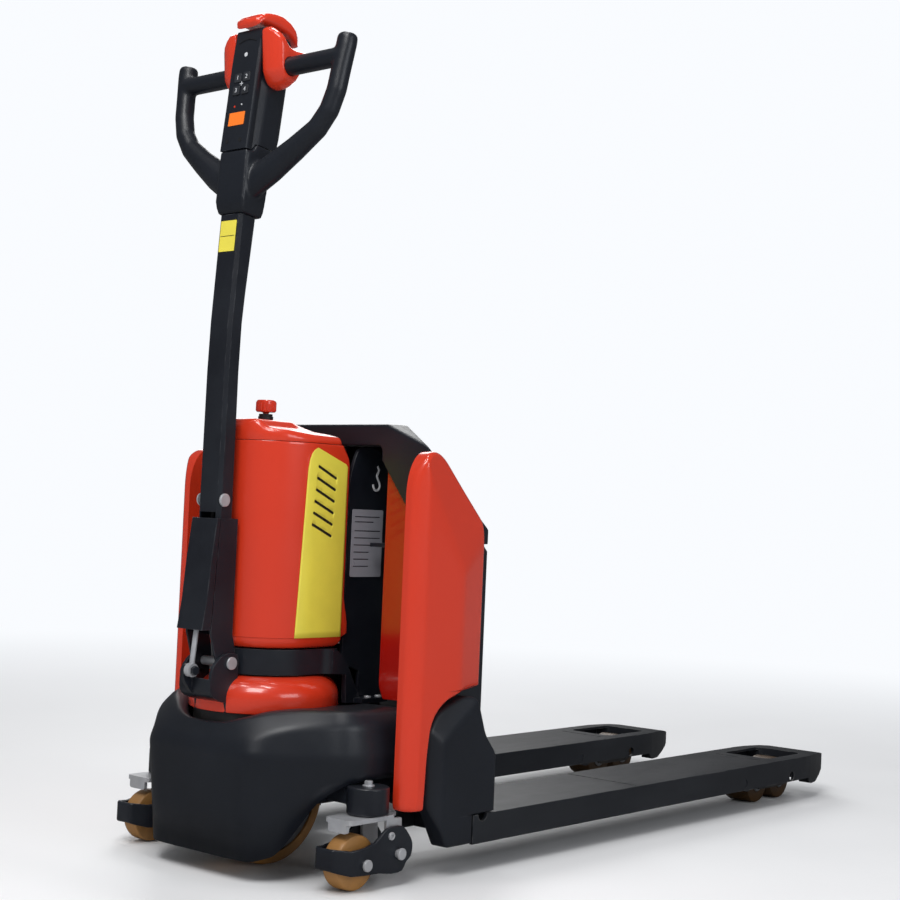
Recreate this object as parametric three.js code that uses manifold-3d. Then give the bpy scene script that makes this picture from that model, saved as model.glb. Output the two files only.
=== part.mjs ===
// Electric pallet truck: a low-lift truck with a steered drive wheel, a tiller and a lifting fork frame.
// Millimetres. +X points to the fork tips, +Y to the truck's left, +Z up.
// The origin is on the floor under the steering axis. Every piece is drawn with the forks lowered and
// the tiller upright.
import * as THREE from "three";
import { ConvexGeometry } from "three/addons/geometries/ConvexGeometry.js";
import { mergeVertices } from "three/addons/utils/BufferGeometryUtils.js";
import Module from "manifold-3d";

// ---- driving dimensions ----
const GAP = 0.4; // between two pieces that touch
const RUN = 0.3; // radial clearance of a turning fit

const FORK = { width: 160, centre: 190, heel: 238, tip: 1387, top: 88, bottom: 44, wall: 6, roof: 5 };
const LOAD_WHEEL = { radius: 40, width: 60, spread: 44, centre: 1181 };
const BOGIE = { z: 54, plate: 6 };
const ARM = { x: 1000, z: 57, crank: 17 };
const ROCKER = { x: 212, z: 88, radius: 10, crank: 15.1, reach: 150, pinX: 73.4, pinZ: 145.4, y: 100 };
const DRIVE = { radius: 105, width: 68 };
const DOME = { radius: 114, bottom: 236, top: 289 };
const COLLAR = { radius: 86, outer: 95, bottom: 291, top: 329, foot: 245 };
const DRUM = { radius: 92, rear: 75, bottom: 330, rim: 345, seam: 640, top: 673, wall: 4 };
const MAST = { front: 80, rear: 168, half: 85, top: 640, wall: 6 };
const DECK = { bottom: 220, top: 233 };
const SKIRT = { wall: 5, rear: 100, floor: 31, crease: 183, top: 244 };
const CASTER = { x: 5, y: 222, trail: 35, radius: 40, width: 36, hingeX: 34, hingeZ: 48 };
const CYLINDER = { x: 140, radius: 21, ram: 12 };
const TILLER = { x: -103, z: 308, half: 28 };
const STUD = { x: -149, z: 297 };
const HEAD = { x: -100, z: 970, tilt: 7.5, bar: [3, 235] };
const PANEL = { outer: 270, inner: 240 };
const KEYS = [[9.5, 214], [-9.5, 214], [9.5, 194], [-9.5, 194]];
const STOP = { x: -24, radius: 15 };
const NECK = 75.6; // radius of the steering column

const wasm = await Module();
wasm.setup();

// ---- materials ----
function finish(color, roughness, metalness = 0) {
  return new THREE.MeshStandardMaterial({ color, roughness, metalness });
}
const RED = finish(0xd43c1e, 0.3);
const BLACK_PLASTIC = finish(0x24262c, 0.45);
const BLACK_PAINT = finish(0x1d1f25, 0.4, 0.2);
const ZINC = finish(0xb9bcc2, 0.3, 0.9);
const CAST_ALLOY = finish(0x8f9299, 0.45, 0.8);
const POLYURETHANE = finish(0xb8812e, 0.4);
const CAST_IRON = finish(0x3a3b3f, 0.6, 0.6);
const KEY_GREY = finish(0x55585f, 0.5);

// ---- solids from three.js geometry ----
function solidOf(vertices, triangles) {
  return new wasm.Manifold(
    new wasm.Mesh({ numProp: 3, vertProperties: vertices, triVerts: new Uint32Array(triangles) }),
  );
}

// A closed surface as a solid that faces outwards, whichever way round it was drawn.
function toSolid(geometry) {
  const bare = new THREE.BufferGeometry();
  bare.setAttribute("position", geometry.getAttribute("position"));
  bare.setIndex(geometry.index);
  const merged = mergeVertices(bare, 1e-4);
  const vertices = merged.attributes.position.array;
  const corners = merged.index.array;
  const kept = [];
  for (let i = 0; i < corners.length; i += 3) {
    const [a, b, c] = corners.subarray(i, i + 3);
    if (a !== b && b !== c && c !== a) kept.push(a, b, c);
  }
  const solid = solidOf(vertices, kept);
  return solid.volume() < 0 ? solidOf(vertices, kept.reverse()) : solid;
}

function toGeometry(solid) {
  const mesh = solid.getMesh();
  const geometry = new THREE.BufferGeometry();
  geometry.setAttribute("position", new THREE.BufferAttribute(new Float32Array(mesh.vertProperties), 3));
  geometry.setIndex(new THREE.BufferAttribute(new Uint32Array(mesh.triVerts), 1));
  geometry.computeVertexNormals();
  return geometry;
}

const join = (...solids) => solids.reduce((all, next) => all.add(next));
const cut = (from, ...tools) => tools.reduce((left, tool) => left.subtract(tool), from);

function part(group, name, solid, material) {
  const mesh = new THREE.Mesh(toGeometry(solid), material);
  mesh.name = name;
  group.add(mesh);
}

function block([x0, x1], [y0, y1], [z0, z1]) {
  const geometry = new THREE.BoxGeometry(x1 - x0, y1 - y0, z1 - z0);
  return toSolid(geometry.translate((x0 + x1) / 2, (y0 + y1) / 2, (z0 + z1) / 2));
}

// A closed outline from corners [a, b, radius]; the radius rounds that corner.
function outline(corners) {
  const shape = new THREE.Shape();
  corners.forEach(([a, b, radius = 0], i) => {
    const corner = new THREE.Vector2(a, b);
    const towards = (other) => {
      const step = new THREE.Vector2(other[0] - a, other[1] - b);
      return corner.clone().add(step.setLength(Math.min(radius, step.length() * 0.49)));
    };
    const entry = towards(corners.at(i - 1));
    if (i === 0) shape.moveTo(entry.x, entry.y);
    else shape.lineTo(entry.x, entry.y);
    if (radius) {
      const exit = towards(corners[(i + 1) % corners.length]);
      shape.quadraticCurveTo(a, b, exit.x, exit.y);
    }
  });
  shape.closePath();
  return shape;
}

const AXES = {
  x: new THREE.Matrix4().makeBasis(
    new THREE.Vector3(0, 1, 0), new THREE.Vector3(0, 0, 1), new THREE.Vector3(1, 0, 0)),
  y: new THREE.Matrix4().makeBasis(
    new THREE.Vector3(1, 0, 0), new THREE.Vector3(0, 0, 1), new THREE.Vector3(0, -1, 0)),
  z: new THREE.Matrix4(),
};

// Extrudes a shape along an axis. Its own axes are Y,Z for x, X,Z for y and X,Y for z.
function slab(shape, axis, [from, to], curveSegments = 3) {
  const options = { depth: to - from, bevelEnabled: false, curveSegments };
  const geometry = new THREE.ExtrudeGeometry(shape, options).applyMatrix4(AXES[axis]);
  const start = { x: [from, 0, 0], y: [0, to, 0], z: [0, 0, from] }[axis];
  return toSolid(geometry.translate(...start));
}

// A round bar along an axis; centre holds the other two coordinates in X, Y, Z order.
function rod(axis, radius, [from, to], [a, b], sides = 20, endRadius = radius) {
  const geometry = new THREE.CylinderGeometry(endRadius, radius, to - from, sides);
  const middle = (from + to) / 2;
  if (axis === "x") geometry.rotateZ(-Math.PI / 2).translate(middle, a, b);
  if (axis === "y") geometry.translate(a, middle, b);
  if (axis === "z") geometry.rotateX(Math.PI / 2).translate(a, b, middle);
  return toSolid(geometry);
}

// A turned solid: profile points are [radius, position along the axis], rising.
function turned(axis, profile, [a, b], sides = 32) {
  const points = profile.map(([r, h]) => new THREE.Vector2(r, h));
  const geometry = new THREE.LatheGeometry(points, sides);
  if (axis === "y") geometry.translate(a, 0, b);
  if (axis === "z") geometry.rotateX(Math.PI / 2).translate(a, b, 0);
  return toSolid(geometry);
}

// A closed solid through rings of equal point counts, each end closed by a fan.
function loft(rings) {
  const count = rings[0].length;
  const middle = (ring) => [0, 1, 2].map((k) => ring.reduce((sum, p) => sum + p[k], 0) / count);
  const points = [...rings.flat(), middle(rings[0]), middle(rings.at(-1))];
  const first = rings.length * count;
  const faces = [];
  for (let i = 0; i < count; i += 1) {
    const j = (i + 1) % count;
    for (let row = 0; row < first - count; row += count) {
      faces.push(row + i, row + j, row + count + j, row + i, row + count + j, row + count + i);
    }
    faces.push(first, j, i);
    faces.push(first + 1, first - count + i, first - count + j);
  }
  const geometry = new THREE.BufferGeometry();
  geometry.setAttribute("position", new THREE.Float32BufferAttribute(points.flat(), 3));
  geometry.setIndex(faces);
  return toSolid(geometry);
}

// A bar of rounded section through stations { at: [x, y, z], half: [depth, breadth] } that lie in a
// plane of constant x; depth is measured along x and breadth across the path.
function swept(stations, sides = 12) {
  const rings = stations.map(({ at: [x, y, z], half: [depth, breadth] }, i) => {
    const before = stations[Math.max(i - 1, 0)].at;
    const after = stations[Math.min(i + 1, stations.length - 1)].at;
    const path = Math.atan2(after[2] - before[2], after[1] - before[1]);
    return Array.from({ length: sides }, (_, k) => {
      const turn = (2 * Math.PI * (k + 0.5)) / sides;
      const across = breadth * Math.sin(turn);
      return [x + depth * Math.cos(turn), y - across * Math.sin(path), z + across * Math.cos(path)];
    });
  });
  return loft(rings);
}

// Runs build twice: for the right-hand side (-Y) as drawn, and mirrored for the left.
function bothSides(parent, build) {
  for (const [side, mirror] of [["right", 1], ["left", -1]]) {
    const group = new THREE.Group();
    group.scale.y = mirror;
    parent.add(group);
    build(group, side);
  }
}

const truck = new THREE.Group();

// ---- forks ----
function forkSolid() {
  const { heel, tip, top, bottom, wall, roof } = FORK;
  const half = FORK.width / 2;
  const start = heel - 49;
  const side = slab(outline([
    [start, bottom], [1255, bottom], [1268, 31, 4], [1300, 31, 6], [tip, 62, 4], [tip, 74, 8],
    [1330, top, 60], [start, top],
  ]), "y", [-half, half]);
  const plan = slab(outline([
    [start, -half], [1252, -half, 40], [1350, -58, 50], [tip, -34, 24], [tip, 34, 24], [1350, 58, 50],
    [1252, half, 40], [start, half],
  ]), "z", [0, 100]);
  const channel = block([heel + GAP, 1270], [wall - half, half - wall], [0, top - roof]);
  const nose = block([1269, 1300], [-48, 48], [0, 74]);
  const heelOpen = block([start - 1, heel + GAP + 0.1], [wall - half, half - wall], [0, 100]);
  const window = slab(outline([
    [1138, -50, 14], [1272, -50, 14], [1272, 50, 14], [1138, 50, 14],
  ]), "z", [60, 100]);
  const slot = block([1106, 1110], [-50, 50], [60, 100]);
  return cut(
    side.intersect(plan), channel, nose, heelOpen, window, slot,
    rod("y", ROCKER.radius + 1, [-half - 1, half + 1], [ROCKER.x, ROCKER.z], 16),
    rod("y", 8 + RUN, [-half - 1, half + 1], [ARM.x, ARM.z], 12),
    rod("y", 9.5, [-half - 1, half + 1], [LOAD_WHEEL.centre, BOGIE.z], 12),
  );
}

function loadWheel() {
  const { radius, width } = LOAD_WHEEL;
  const half = width / 2;
  const bore = 8 + RUN;
  return turned("y", [
    [bore, -half], [30, -half], [32, 2 - half], [radius - 2, 2 - half], [radius, 5 - half],
    [radius, half - 5], [radius - 2, half - 2], [32, half - 2], [30, half], [bore, half], [bore, -half],
  ], [0, LOAD_WHEEL.radius], 20);
}

function bogieSolid() {
  const { centre, spread, radius } = LOAD_WHEEL;
  const inner = LOAD_WHEEL.width / 2 + 1.5;
  const outer = inner + BOGIE.plate;
  const profile = outline([
    [centre - spread - 14, radius - 13, 12], [centre + spread + 14, radius - 13, 12],
    [centre + spread + 14, radius + 12, 12], [centre + 13, BOGIE.z + 12, 8],
    [centre - 13, BOGIE.z + 12, 8], [centre - spread - 14, radius + 12, 12],
  ]);
  const plates = [[-outer, -inner], [inner, outer]].map((y) => slab(profile, "y", y, 2));
  const axles = [-spread, spread].map((x) => rod("y", 8, [-outer - 2, outer + 2], [centre + x, radius], 12));
  const stubs = [[-70, -inner], [inner, 70]].map((y) => rod("y", 8, y, [centre, BOGIE.z], 12));
  return join(...plates, ...axles, ...stubs);
}

// The arm's crank leans back by half its travel, so the push rod's pin stays near one height.
function loadArmSolid() {
  const { x, z, crank } = ARM;
  const cheek = outline([
    [x - 13, z - 13, 9], [x + 32, z - 13], [x + 44, 33, 8], [x + 62, 33, 8], [x + 74, z - 14],
    [LOAD_WHEEL.centre + 13, BOGIE.z - 13, 10], [LOAD_WHEEL.centre + 13, BOGIE.z + 13, 10],
    [x + 60, z + 13], [x - 13, z + 13, 9],
  ]);
  const cheeks = [[-55, -46], [46, 55]].map((y) => slab(cheek, "y", y, 2));
  const lean = THREE.MathUtils.degToRad(-19.85);
  const pin = [x + crank * Math.sin(lean), z + crank * Math.cos(lean)];
  const lug = slab(outline([
    [x - 9, z - 9, 5], [x + 9, z - 9, 5], [x + 9, z, 4], [pin[0] + 6, pin[1] + 5, 4],
    [pin[0] - 6, pin[1] + 5, 4],
  ]), "y", [-5, 5], 2);
  return cut(
    join(
      ...cheeks, lug,
      rod("y", 8, [-79, 79], [x, z], 12),
      block([x + 14, x + 70], [-50, 50], [z - 9, z - 1]),
      block([x - 6, x + 20], [-50, 50], [z - 7, z - 2]),
      rod("y", 4.5, [-5, 14], pin, 12),
    ),
    rod("y", 8 + RUN, [-60, 60], [LOAD_WHEEL.centre, BOGIE.z], 12),
  );
}

// Flat push rod. It hooks over the arm's pin from above and under the rocker's pin from below.
function pushRodSolid() {
  const rear = ROCKER.x - ROCKER.crank * Math.sin(Math.PI / 8);
  const front = ARM.x - ARM.crank * Math.sin(THREE.MathUtils.degToRad(19.85));
  const bar = slab(outline([
    [rear - 13, 63, 3], [rear + 12, 63, 3], [rear + 24, 66], [front + 13, 66, 3], [front + 13, 81, 4],
    [front - 30, 81], [front - 40, 76.5], [rear - 13, 76.5, 3],
  ]), "y", [7, 13], 2);
  return cut(
    bar,
    block([rear - 5.8, rear + 5.8], [6, 14], [67.6, 90]),
    block([front - 5.8, front + 5.8], [6, 14], [60, 78.8]),
  );
}

function buildForks(frame) {
  for (const [side, y] of [["right", -FORK.centre], ["left", FORK.centre]]) {
    const fork = new THREE.Group();
    fork.position.y = y;
    frame.add(fork);
    part(fork, `fork_${side}`, forkSolid(), BLACK_PAINT);
    part(fork, `load_arm_${side}`, loadArmSolid(), BLACK_PAINT);
    part(fork, `bogie_${side}`, bogieSolid(), CAST_IRON);
    part(fork, `push_rod_${side}`, pushRodSolid(), CAST_IRON);
    for (const [place, offset] of [["rear", -LOAD_WHEEL.spread], ["front", LOAD_WHEEL.spread]]) {
      const axle = new THREE.Group();
      axle.position.x = LOAD_WHEEL.centre + offset;
      fork.add(axle);
      part(axle, `load_wheel_${side}_${place}`, loadWheel(), POLYURETHANE);
    }
  }
}

// Cross shaft at the fork heels: slotted drive arms take the chassis pins, short cranks push the rods.
function rockerSolid() {
  const { x, z, radius, crank, reach, y } = ROCKER;
  const half = FORK.centre;
  const slope = Math.atan2(ROCKER.pinZ - z, x - ROCKER.pinX);
  const armGroup = new THREE.Matrix4().makeRotationY(slope).setPosition(x, 0, z);
  const arm = new THREE.ExtrudeGeometry(outline([
    [15, -13, 8], [15, 13, 8], [-reach - 16, 15, 12], [-reach - 16, -15, 12],
  ]), { depth: 8, bevelEnabled: false, curveSegments: 3 });
  arm.applyMatrix4(AXES.y).translate(0, 4, 0).applyMatrix4(armGroup);
  const slot = new THREE.BoxGeometry(33, 20, 20.4).translate(5.5 - reach, 0, 0).applyMatrix4(armGroup);
  const slotted = cut(toSolid(arm), toSolid(slot));
  const lean = Math.PI / 8;
  const pin = [x - crank * Math.sin(lean), z - crank * Math.cos(lean)];
  const lug = outline([
    [x + 9, z + 6, 6], [x - 9, z + 6, 6], [pin[0] - 6.5, pin[1] - 5, 4], [pin[0] + 6.5, pin[1] - 5, 4],
  ]);
  const pieces = [rod("y", radius, [-238, 238], [x, z], 16)];
  for (const side of [-1, 1]) {
    pieces.push(slotted.translate([0, side * y, 0]));
    pieces.push(slab(lug, "y", [side * half - 5, side * half + 5], 2));
    pieces.push(rod("y", 4.5, [side * half - 5, side * half + 14], pin, 12));
  }
  return join(...pieces);
}

// ---- fork carriage, battery and red side panels ----
function carriageSolid() {
  const { heel, bottom, top } = FORK;
  const back = slab(outline([
    [-236, 486], [-229, 494], [-229, 505, 6], [-150, 577, 10], [150, 577, 10], [229, 505, 6], [229, 494],
    [236, 486], [236, top + GAP], [263.5, top + GAP],
    [263.5, bottom], [100, bottom], [100, 76], [-100, 76], [-100, bottom], [-263.5, bottom],
    [-263.5, top + GAP], [-236, top + GAP],
  ]), "x", [heel - 8, heel]);
  const gusset = outline([[176, 72, 6], [heel - 4, 72], [heel - 4, 486],
    [116, 486, 12], [116, 300, 30], [176, 240, 30]]);
  const gussets = [[-236, -230], [230, 236]].map((y) => slab(gusset, "y", y));
  const legs = [[-150, -138], [138, 150]].map((y) => block([116, 136], y, [490, 646]));
  const openings = [-1, 1].flatMap((side) => [
    block([heel - 9, heel + 1], [side * 113 - 3.5, side * 113 + 3.5], [bottom - 1, top + GAP]),
    block([heel - 9, heel + 1], [side * FORK.centre - 14, side * FORK.centre + 20], [62, 84]),
    block([170, 206], [side * ROCKER.y - 7, side * ROCKER.y + 7], [100, 120]),
  ]);
  return cut(
    join(
      back, ...gussets, ...legs,
      block([174, heel - 4], [-233, 233], [110, 116]),
      cut(block([116, heel - 4], [-233, 233], [486, 492]), block([100, 174], [-100, 100], [480, 500])),
      block([112, 150], [-150, 150], [643, 652]),
    ),
    ...openings,
    rod("y", ROCKER.radius + RUN, [-240, 240], [ROCKER.x, ROCKER.z]),
  );
}

function batterySolid() {
  const body = block([176, 224], [-222, 222], [125, 474]);
  const lid = block([178, 222], [-218, 218], [473, 480]);
  return join(body, lid);
}

// Wing outside, recessed face inside: the panel wraps from the truck's flank to the mast opening.
function sidePanelSolid() {
  const { outer, inner } = PANEL;
  const wing = slab(outline([
    [38, 107, 10], [76, 106, 6], [80, 190], [86, 236, 26], [112, 262, 20], [164, 279, 14], [208, 279, 4],
    [208, 532, 16], [148, 582, 20], [96, 629, 26], [60, 629, 30], [38, 592, 30],
  ]), "y", [-outer, -inner], 4);
  const bevel = toSolid(new ConvexGeometry([
    [28, -outer - 1, 90], [28, -outer - 1, 640], [54, -outer - 1, 90], [54, -outer - 1, 640],
    [28, -outer + 18, 90], [28, -outer + 18, 640],
  ].map((p) => new THREE.Vector3(...p))));
  const face = slab(outline([
    [-inner - 4, 256], [-116, 256, 4], [-99, 276, 6], [-99, 604, 14], [-142, 617, 6], [-200, 543, 6],
    [-inner - 4, 488],
  ]), "x", [103, 109]);
  const flange = block([103, 150], [-inner - 1, -inner + 3], [290, 480]);
  return join(cut(wing, bevel), face, flange);
}

function archOuter() {
  const corners = [];
  for (const y of [-1, 1]) {
    corners.push(
      [88, y * 150, 675], [134, y * 150, 676], [240, y * 150, 592], [88, y * 236, 641], [88, y * 236, 497],
      [150, y * 236, 590], [240, y * 236, 519], [240, y * 236, 497],
    );
  }
  return toSolid(new ConvexGeometry(corners.map((p) => new THREE.Vector3(...p))));
}

// Black portal-shaped cover over the battery bay; the mast stands in its front opening.
function archSolid() {
  const cavity = [];
  for (const y of [-1, 1]) {
    cavity.push(
      [94, y * 151, 669], [132, y * 151, 669], [240, y * 151, 584], [94, y * 230, 636], [94, y * 230, 490],
      [150, y * 230, 584], [241, y * 230, 511], [241, y * 230, 490],
    );
  }
  const portal = slab(outline([
    [-142, 480], [-142, 642, 12], [142, 642, 12], [142, 480],
  ]), "x", [80, 100]);
  const corner = (y) => slab(outline([
    [y * 140, 480], [y * 140, 618.5], [y * 142, 618.5], [y * 200, 544.5], [y * 242, 491], [y * 242, 480],
  ]), "x", [80, 112]);
  return cut(
    archOuter(), toSolid(new ConvexGeometry(cavity.map((p) => new THREE.Vector3(...p)))), portal,
    corner(-1), corner(1),
  );
}

function heelCoverSolid() {
  const profile = outline([
    [128, 46, 6], [187, 46], [187, 89.5], [239, 89.5], [239, 178, 8], [212, 208, 10], [190, 266, 10],
    [164, 268, 14], [112, 246, 16], [90, 216, 10], [92, 110, 10],
  ]);
  const shell = slab(profile, "y", [-271, -241]);
  const crease = toSolid(new ConvexGeometry([
    [60, -272, 40], [60, -272, 280], [60, -258, 40], [60, -258, 280], [112, -272, 40], [112, -272, 280],
  ].map((p) => new THREE.Vector3(...p))));
  const hollow = slab(outline([
    [134, 52], [180, 52], [180, 96], [232, 96], [232, 176], [206, 204], [184, 260], [164, 262],
    [114, 240], [97, 212], [99, 112],
  ]), "y", [-265, -240]);
  return cut(shell, crease, hollow);
}

function buildForkFrame() {
  const frame = new THREE.Group();
  truck.add(frame);
  buildForks(frame);
  part(frame, "rocker_shaft", rockerSolid(), CAST_IRON);
  part(frame, "carriage", carriageSolid(), BLACK_PAINT);
  part(frame, "battery", batterySolid(), BLACK_PLASTIC);
  part(frame, "arch_cover", archSolid(), BLACK_PLASTIC);
  part(frame, "lift_ram", rod("z", CYLINDER.ram, [330, 643 - GAP], [CYLINDER.x, 0]), ZINC);
  bothSides(frame, (group, side) => {
    part(group, `side_panel_${side}`, sidePanelSolid(), RED);
    part(group, `heel_cover_${side}`, heelCoverSolid(), BLACK_PLASTIC);
  });
}

// ---- chassis ----
function chassisSolid() {
  const { front, rear, half, top, wall } = MAST;
  const cheek = outline([
    [118.5, 160], [118.5, 292], [front, 306, 6], [front, 591, 20], [90, 621, 8], [99, top, 10],
    [140, top, 14], [160, 624, 8], [rear, 596, 12], [rear, 160],
  ]);
  const cheeks = [[-half, wall - half], [half - wall, half]].map((y) => slab(cheek, "y", y));
  const plan = outline([[-40, -140], [0, -174], [rear, -182], [rear, 182], [0, 174], [-40, 140]]);
  const deck = cut(
    slab(plan, "z", [DECK.bottom, DECK.top]),
    rod("z", DOME.radius + 4, [200, 260], [0, 0], 32),
    rod("z", CYLINDER.radius + GAP, [200, 260], [CYLINDER.x, 0]),
  );
  const pieces = [...cheeks, block([rear - wall, rear], [-half, half], [160, 560]), deck];
  pieces.push(block([118.5, rear], [-half, half], [160, 172]));
  for (const side of [-1, 1]) {
    const at = (y0, y1) => [Math.min(side * y0, side * y1), Math.max(side * y0, side * y1)];
    pieces.push(block([-40, rear], at(150, 156), [112, DECK.top]));
    pieces.push(block([60, rear], at(108, 116), [130, DECK.top]));
    pieces.push(rod("y", 8, at(93, 112), [ROCKER.pinX, ROCKER.pinZ]));
  }
  return join(...pieces);
}

function collarSolid() {
  const { radius, outer, bottom, top, foot } = COLLAR;
  const arc = Array.from({ length: 17 }, (_, i) => {
    const turn = Math.PI / 2 + (Math.PI * i) / 16;
    return [radius * Math.cos(turn), radius * Math.sin(turn)];
  });
  const band = slab(outline([
    ...arc, [36, -radius, 6], [48, 1 - outer, 6], [64, 1 - outer, 8], [64, outer - 1, 8], [48, outer - 1, 6],
    [36, radius, 6],
  ]), "z", [bottom, top]);
  const cheek = outline([
    [50, top - 4], [62, top - 2, 8], [82, 306, 8], [112, foot + 7, 3], [128, foot + 7], [128, foot],
    [82, foot], [80, bottom - 2, 3], [50, bottom],
  ]);
  const cheeks = [[-outer, -86], [86, outer]].map((y) => slab(cheek, "y", y));
  const feet = [[-112, -86], [86, 112]].map((y) => block([100, 158], y, [foot, foot + 7]));
  return cut(join(band, ...cheeks, ...feet), rod("z", 76.4, [bottom - 1, top + 1], [0, 0], 32));
}

// Half of a closed outline for one level of the skirt, from the nose round to the rear edge.
function skirtRing(points) {
  const mirrored = points.slice(1).map(([x, y, z]) => [x, -y, z]).reverse();
  return [...mirrored, ...points];
}

function skirtLevels(inset, drop) {
  const { rear, floor, crease, top } = SKIRT;
  const into = (x, y, z) => {
    const length = Math.hypot(x - 40, y);
    const share = (length - inset) / length;
    return [x >= rear ? x : 40 + (x - 40) * share, y * share, z];
  };
  const level = (points, z) => skirtRing(points.map(([x, y, own]) => into(x, y, own ?? z)));
  return [
    level([[-121, 0], [-119, -50], [-113, -98], [-90, -130], [-55, -165], [-28, -195], [0, -206],
      [rear, -214]], floor - drop),
    level([[-138, 0], [-136, -50], [-128, -98], [-100, -136], [-58, -176], [-30, -203], [0, -212],
      [rear, -216]], crease),
    level([[-136, 0, 196], [-134, -50, 198], [-124, -94, 204], [-97, -130, 216], [-56, -168, 224],
      [-29, -194, 226], [0, -204, 226], [rear, -208, 226]]),
    level([[-122, 0, 219 - drop], [-120, -40, 221 - drop], [-111, -76, 228 - drop],
      [-86, -108, 238 - drop], [-50, -146, top - 1 - drop], [-24, -176, top - drop], [6, -190, top - drop],
      [rear, -192, top - drop]]),
  ];
}

function skirtSolid() {
  const shell = cut(loft(skirtLevels(0, 0)), loft(skirtLevels(SKIRT.wall, SKIRT.wall)));
  const wheelArch = slab(outline([
    [-106, -10], [-108, 31, 6], [-129, 38, 12], [-149, 82, 20], [-163, 116, 20], [-180, 138, 16],
    [-205, 149, 10], [-260, 151],
    [-260, -10],
  ]), "x", [-160, 130], 5);
  return cut(
    shell, wheelArch, wheelArch.mirror([0, 1, 0]),
    rod("z", DOME.radius + 3, [190, 260], [0, 0], 48),
    block([62, 140], [-118, 118], [190, 260]),
    block([SKIRT.rear - 4, 140], [-230, 230], [0, 300]),
  );
}

// D-shaped plan of the drum: round towards the tiller, flat at the mast.
function drumPlan(radius, rear = DRUM.rear) {
  const arc = Array.from({ length: 25 }, (_, i) => {
    const turn = Math.PI / 2 + (Math.PI * i) / 24;
    return [radius * Math.cos(turn), radius * Math.sin(turn)];
  });
  return [...arc, [rear, -radius], [rear, radius]];
}

function drumSolid() {
  const { bottom, rim, seam, radius, rear, wall } = DRUM;
  const levels = [[14, bottom], [6, bottom + 3], [1.5, bottom + 8], [0, rim], [0, seam - GAP]];
  const rings = levels.map(([inset, z]) => drumPlan(radius - inset, rear - inset).map(([x, y]) => [x, y, z]));
  const shoulder = slab(outline([[rear + 1, seam - 22], [58, seam], [rear + 1, seam]]), "y", [-100, 100]);
  const inside = slab(outline(drumPlan(radius - wall, 56)), "z", [rim, seam + 1]);
  const sump = slab(outline(drumPlan(radius - 18, 52)), "z", [bottom + 5, rim + 1]);
  return cut(loft(rings), shoulder, inside, sump);
}

function drumCapSolid() {
  const { seam, top, radius } = DRUM;
  const roof = (drop, inset) => slab(outline([
    [inset - radius, seam - 1], [inset - radius, 650 - drop, 8], [-76, 657 - drop, 10], [-54, 659 - drop, 8],
    [-40, top - drop, 8], [40, top - drop, 8], [54, 659 - drop, 8], [76, 657 - drop, 10],
    [radius - inset, 650 - drop, 8], [radius - inset, seam - 1],
  ]), "x", [-radius, 58]);
  const brow = (drop, inset) => slab(outline([
    [inset - radius, seam - 1], [inset - radius, 665 - drop, 5], [inset - 84, top - drop, 5], [-8, top - drop, 12],
    [32, 656 - drop, 12], [54 - inset, 650 - drop, 4], [58 - inset, seam - 1],
  ]), "y", [-100, 100]);
  const plan = (inset) => slab(outline(drumPlan(radius - inset, 58)), "z", [seam + GAP, 700]);
  const lid = roof(0, 0).intersect(brow(0, 0)).intersect(plan(0));
  const hollow = roof(4, 4).intersect(brow(4, 4)).intersect(plan(4).translate([0, 0, -2]));
  const neck = rod("z", 10, [top - 3, top + 8], [STOP.x, 0]);
  return cut(join(cut(lid, hollow), neck), rod("z", 5, [top - 20, top + 20], [STOP.x, 0]));
}

function stopButtonSolid() {
  const { x, radius } = STOP;
  const base = DRUM.top + 13;
  const stem = rod("z", 4.5, [DRUM.top - 6, base + 4], [x, 0], 16);
  return join(rod("z", radius, [base, base + 18], [x, 0], 28, radius - 0.6), stem);
}

function hydraulicSolid() {
  const motor = rod("z", 40, [DRUM.bottom + 5 + GAP, 500], [-14, 0], 24);
  const pump = block([-46, 20], [-34, 34], [499, 542]);
  const tank = block([-52, 52], [-48, 48], [541, 626]);
  return join(motor, pump, tank);
}

function cylinderSolid() {
  const { x, radius, ram } = CYLINDER;
  return cut(rod("z", radius, [172 + GAP, 606], [x, 0]), rod("z", ram + RUN, [300, 620], [x, 0]));
}

// ---- casters ----
function casterMountSolid() {
  const housing = rod("z", 31, [104, 144], [0, 0], 32);
  const arm = block([-20, 24], [4, CASTER.y - 156.4], [116, 140]);
  return join(housing, arm);
}

function casterBracketSolid() {
  const outer = CASTER.width / 2 + 8;
  const inner = outer - 5;
  const top = slab(outline([
    [-62, -outer, 8], [34, -outer, 8], [34, outer, 8], [-62, outer, 8],
  ]), "z", [96.5, 103.2], 3);
  const front = slab(outline([[-18, 84, 4], [18, 84, 4], [18, 98], [-18, 98]]), "x", [-62, -56], 3);
  const cheek = outline([[14, 98], [46, 98, 3], [48, 44, 12], [24, 36, 12], [14, 70, 10]]);
  const cheeks = [[-outer, -inner], [inner, outer]].map((y) => slab(cheek, "y", y, 2));
  const bolts = [
    rod("y", 6, [-outer - 12, outer + 12], [CASTER.hingeX, CASTER.hingeZ], 12),
    rod("z", 6, [102, 105.8], [44, 0], 12),
    block([30, 52], [-9, 9], [97, 103]),
  ];
  return join(top, front, ...cheeks, ...bolts);
}

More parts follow.
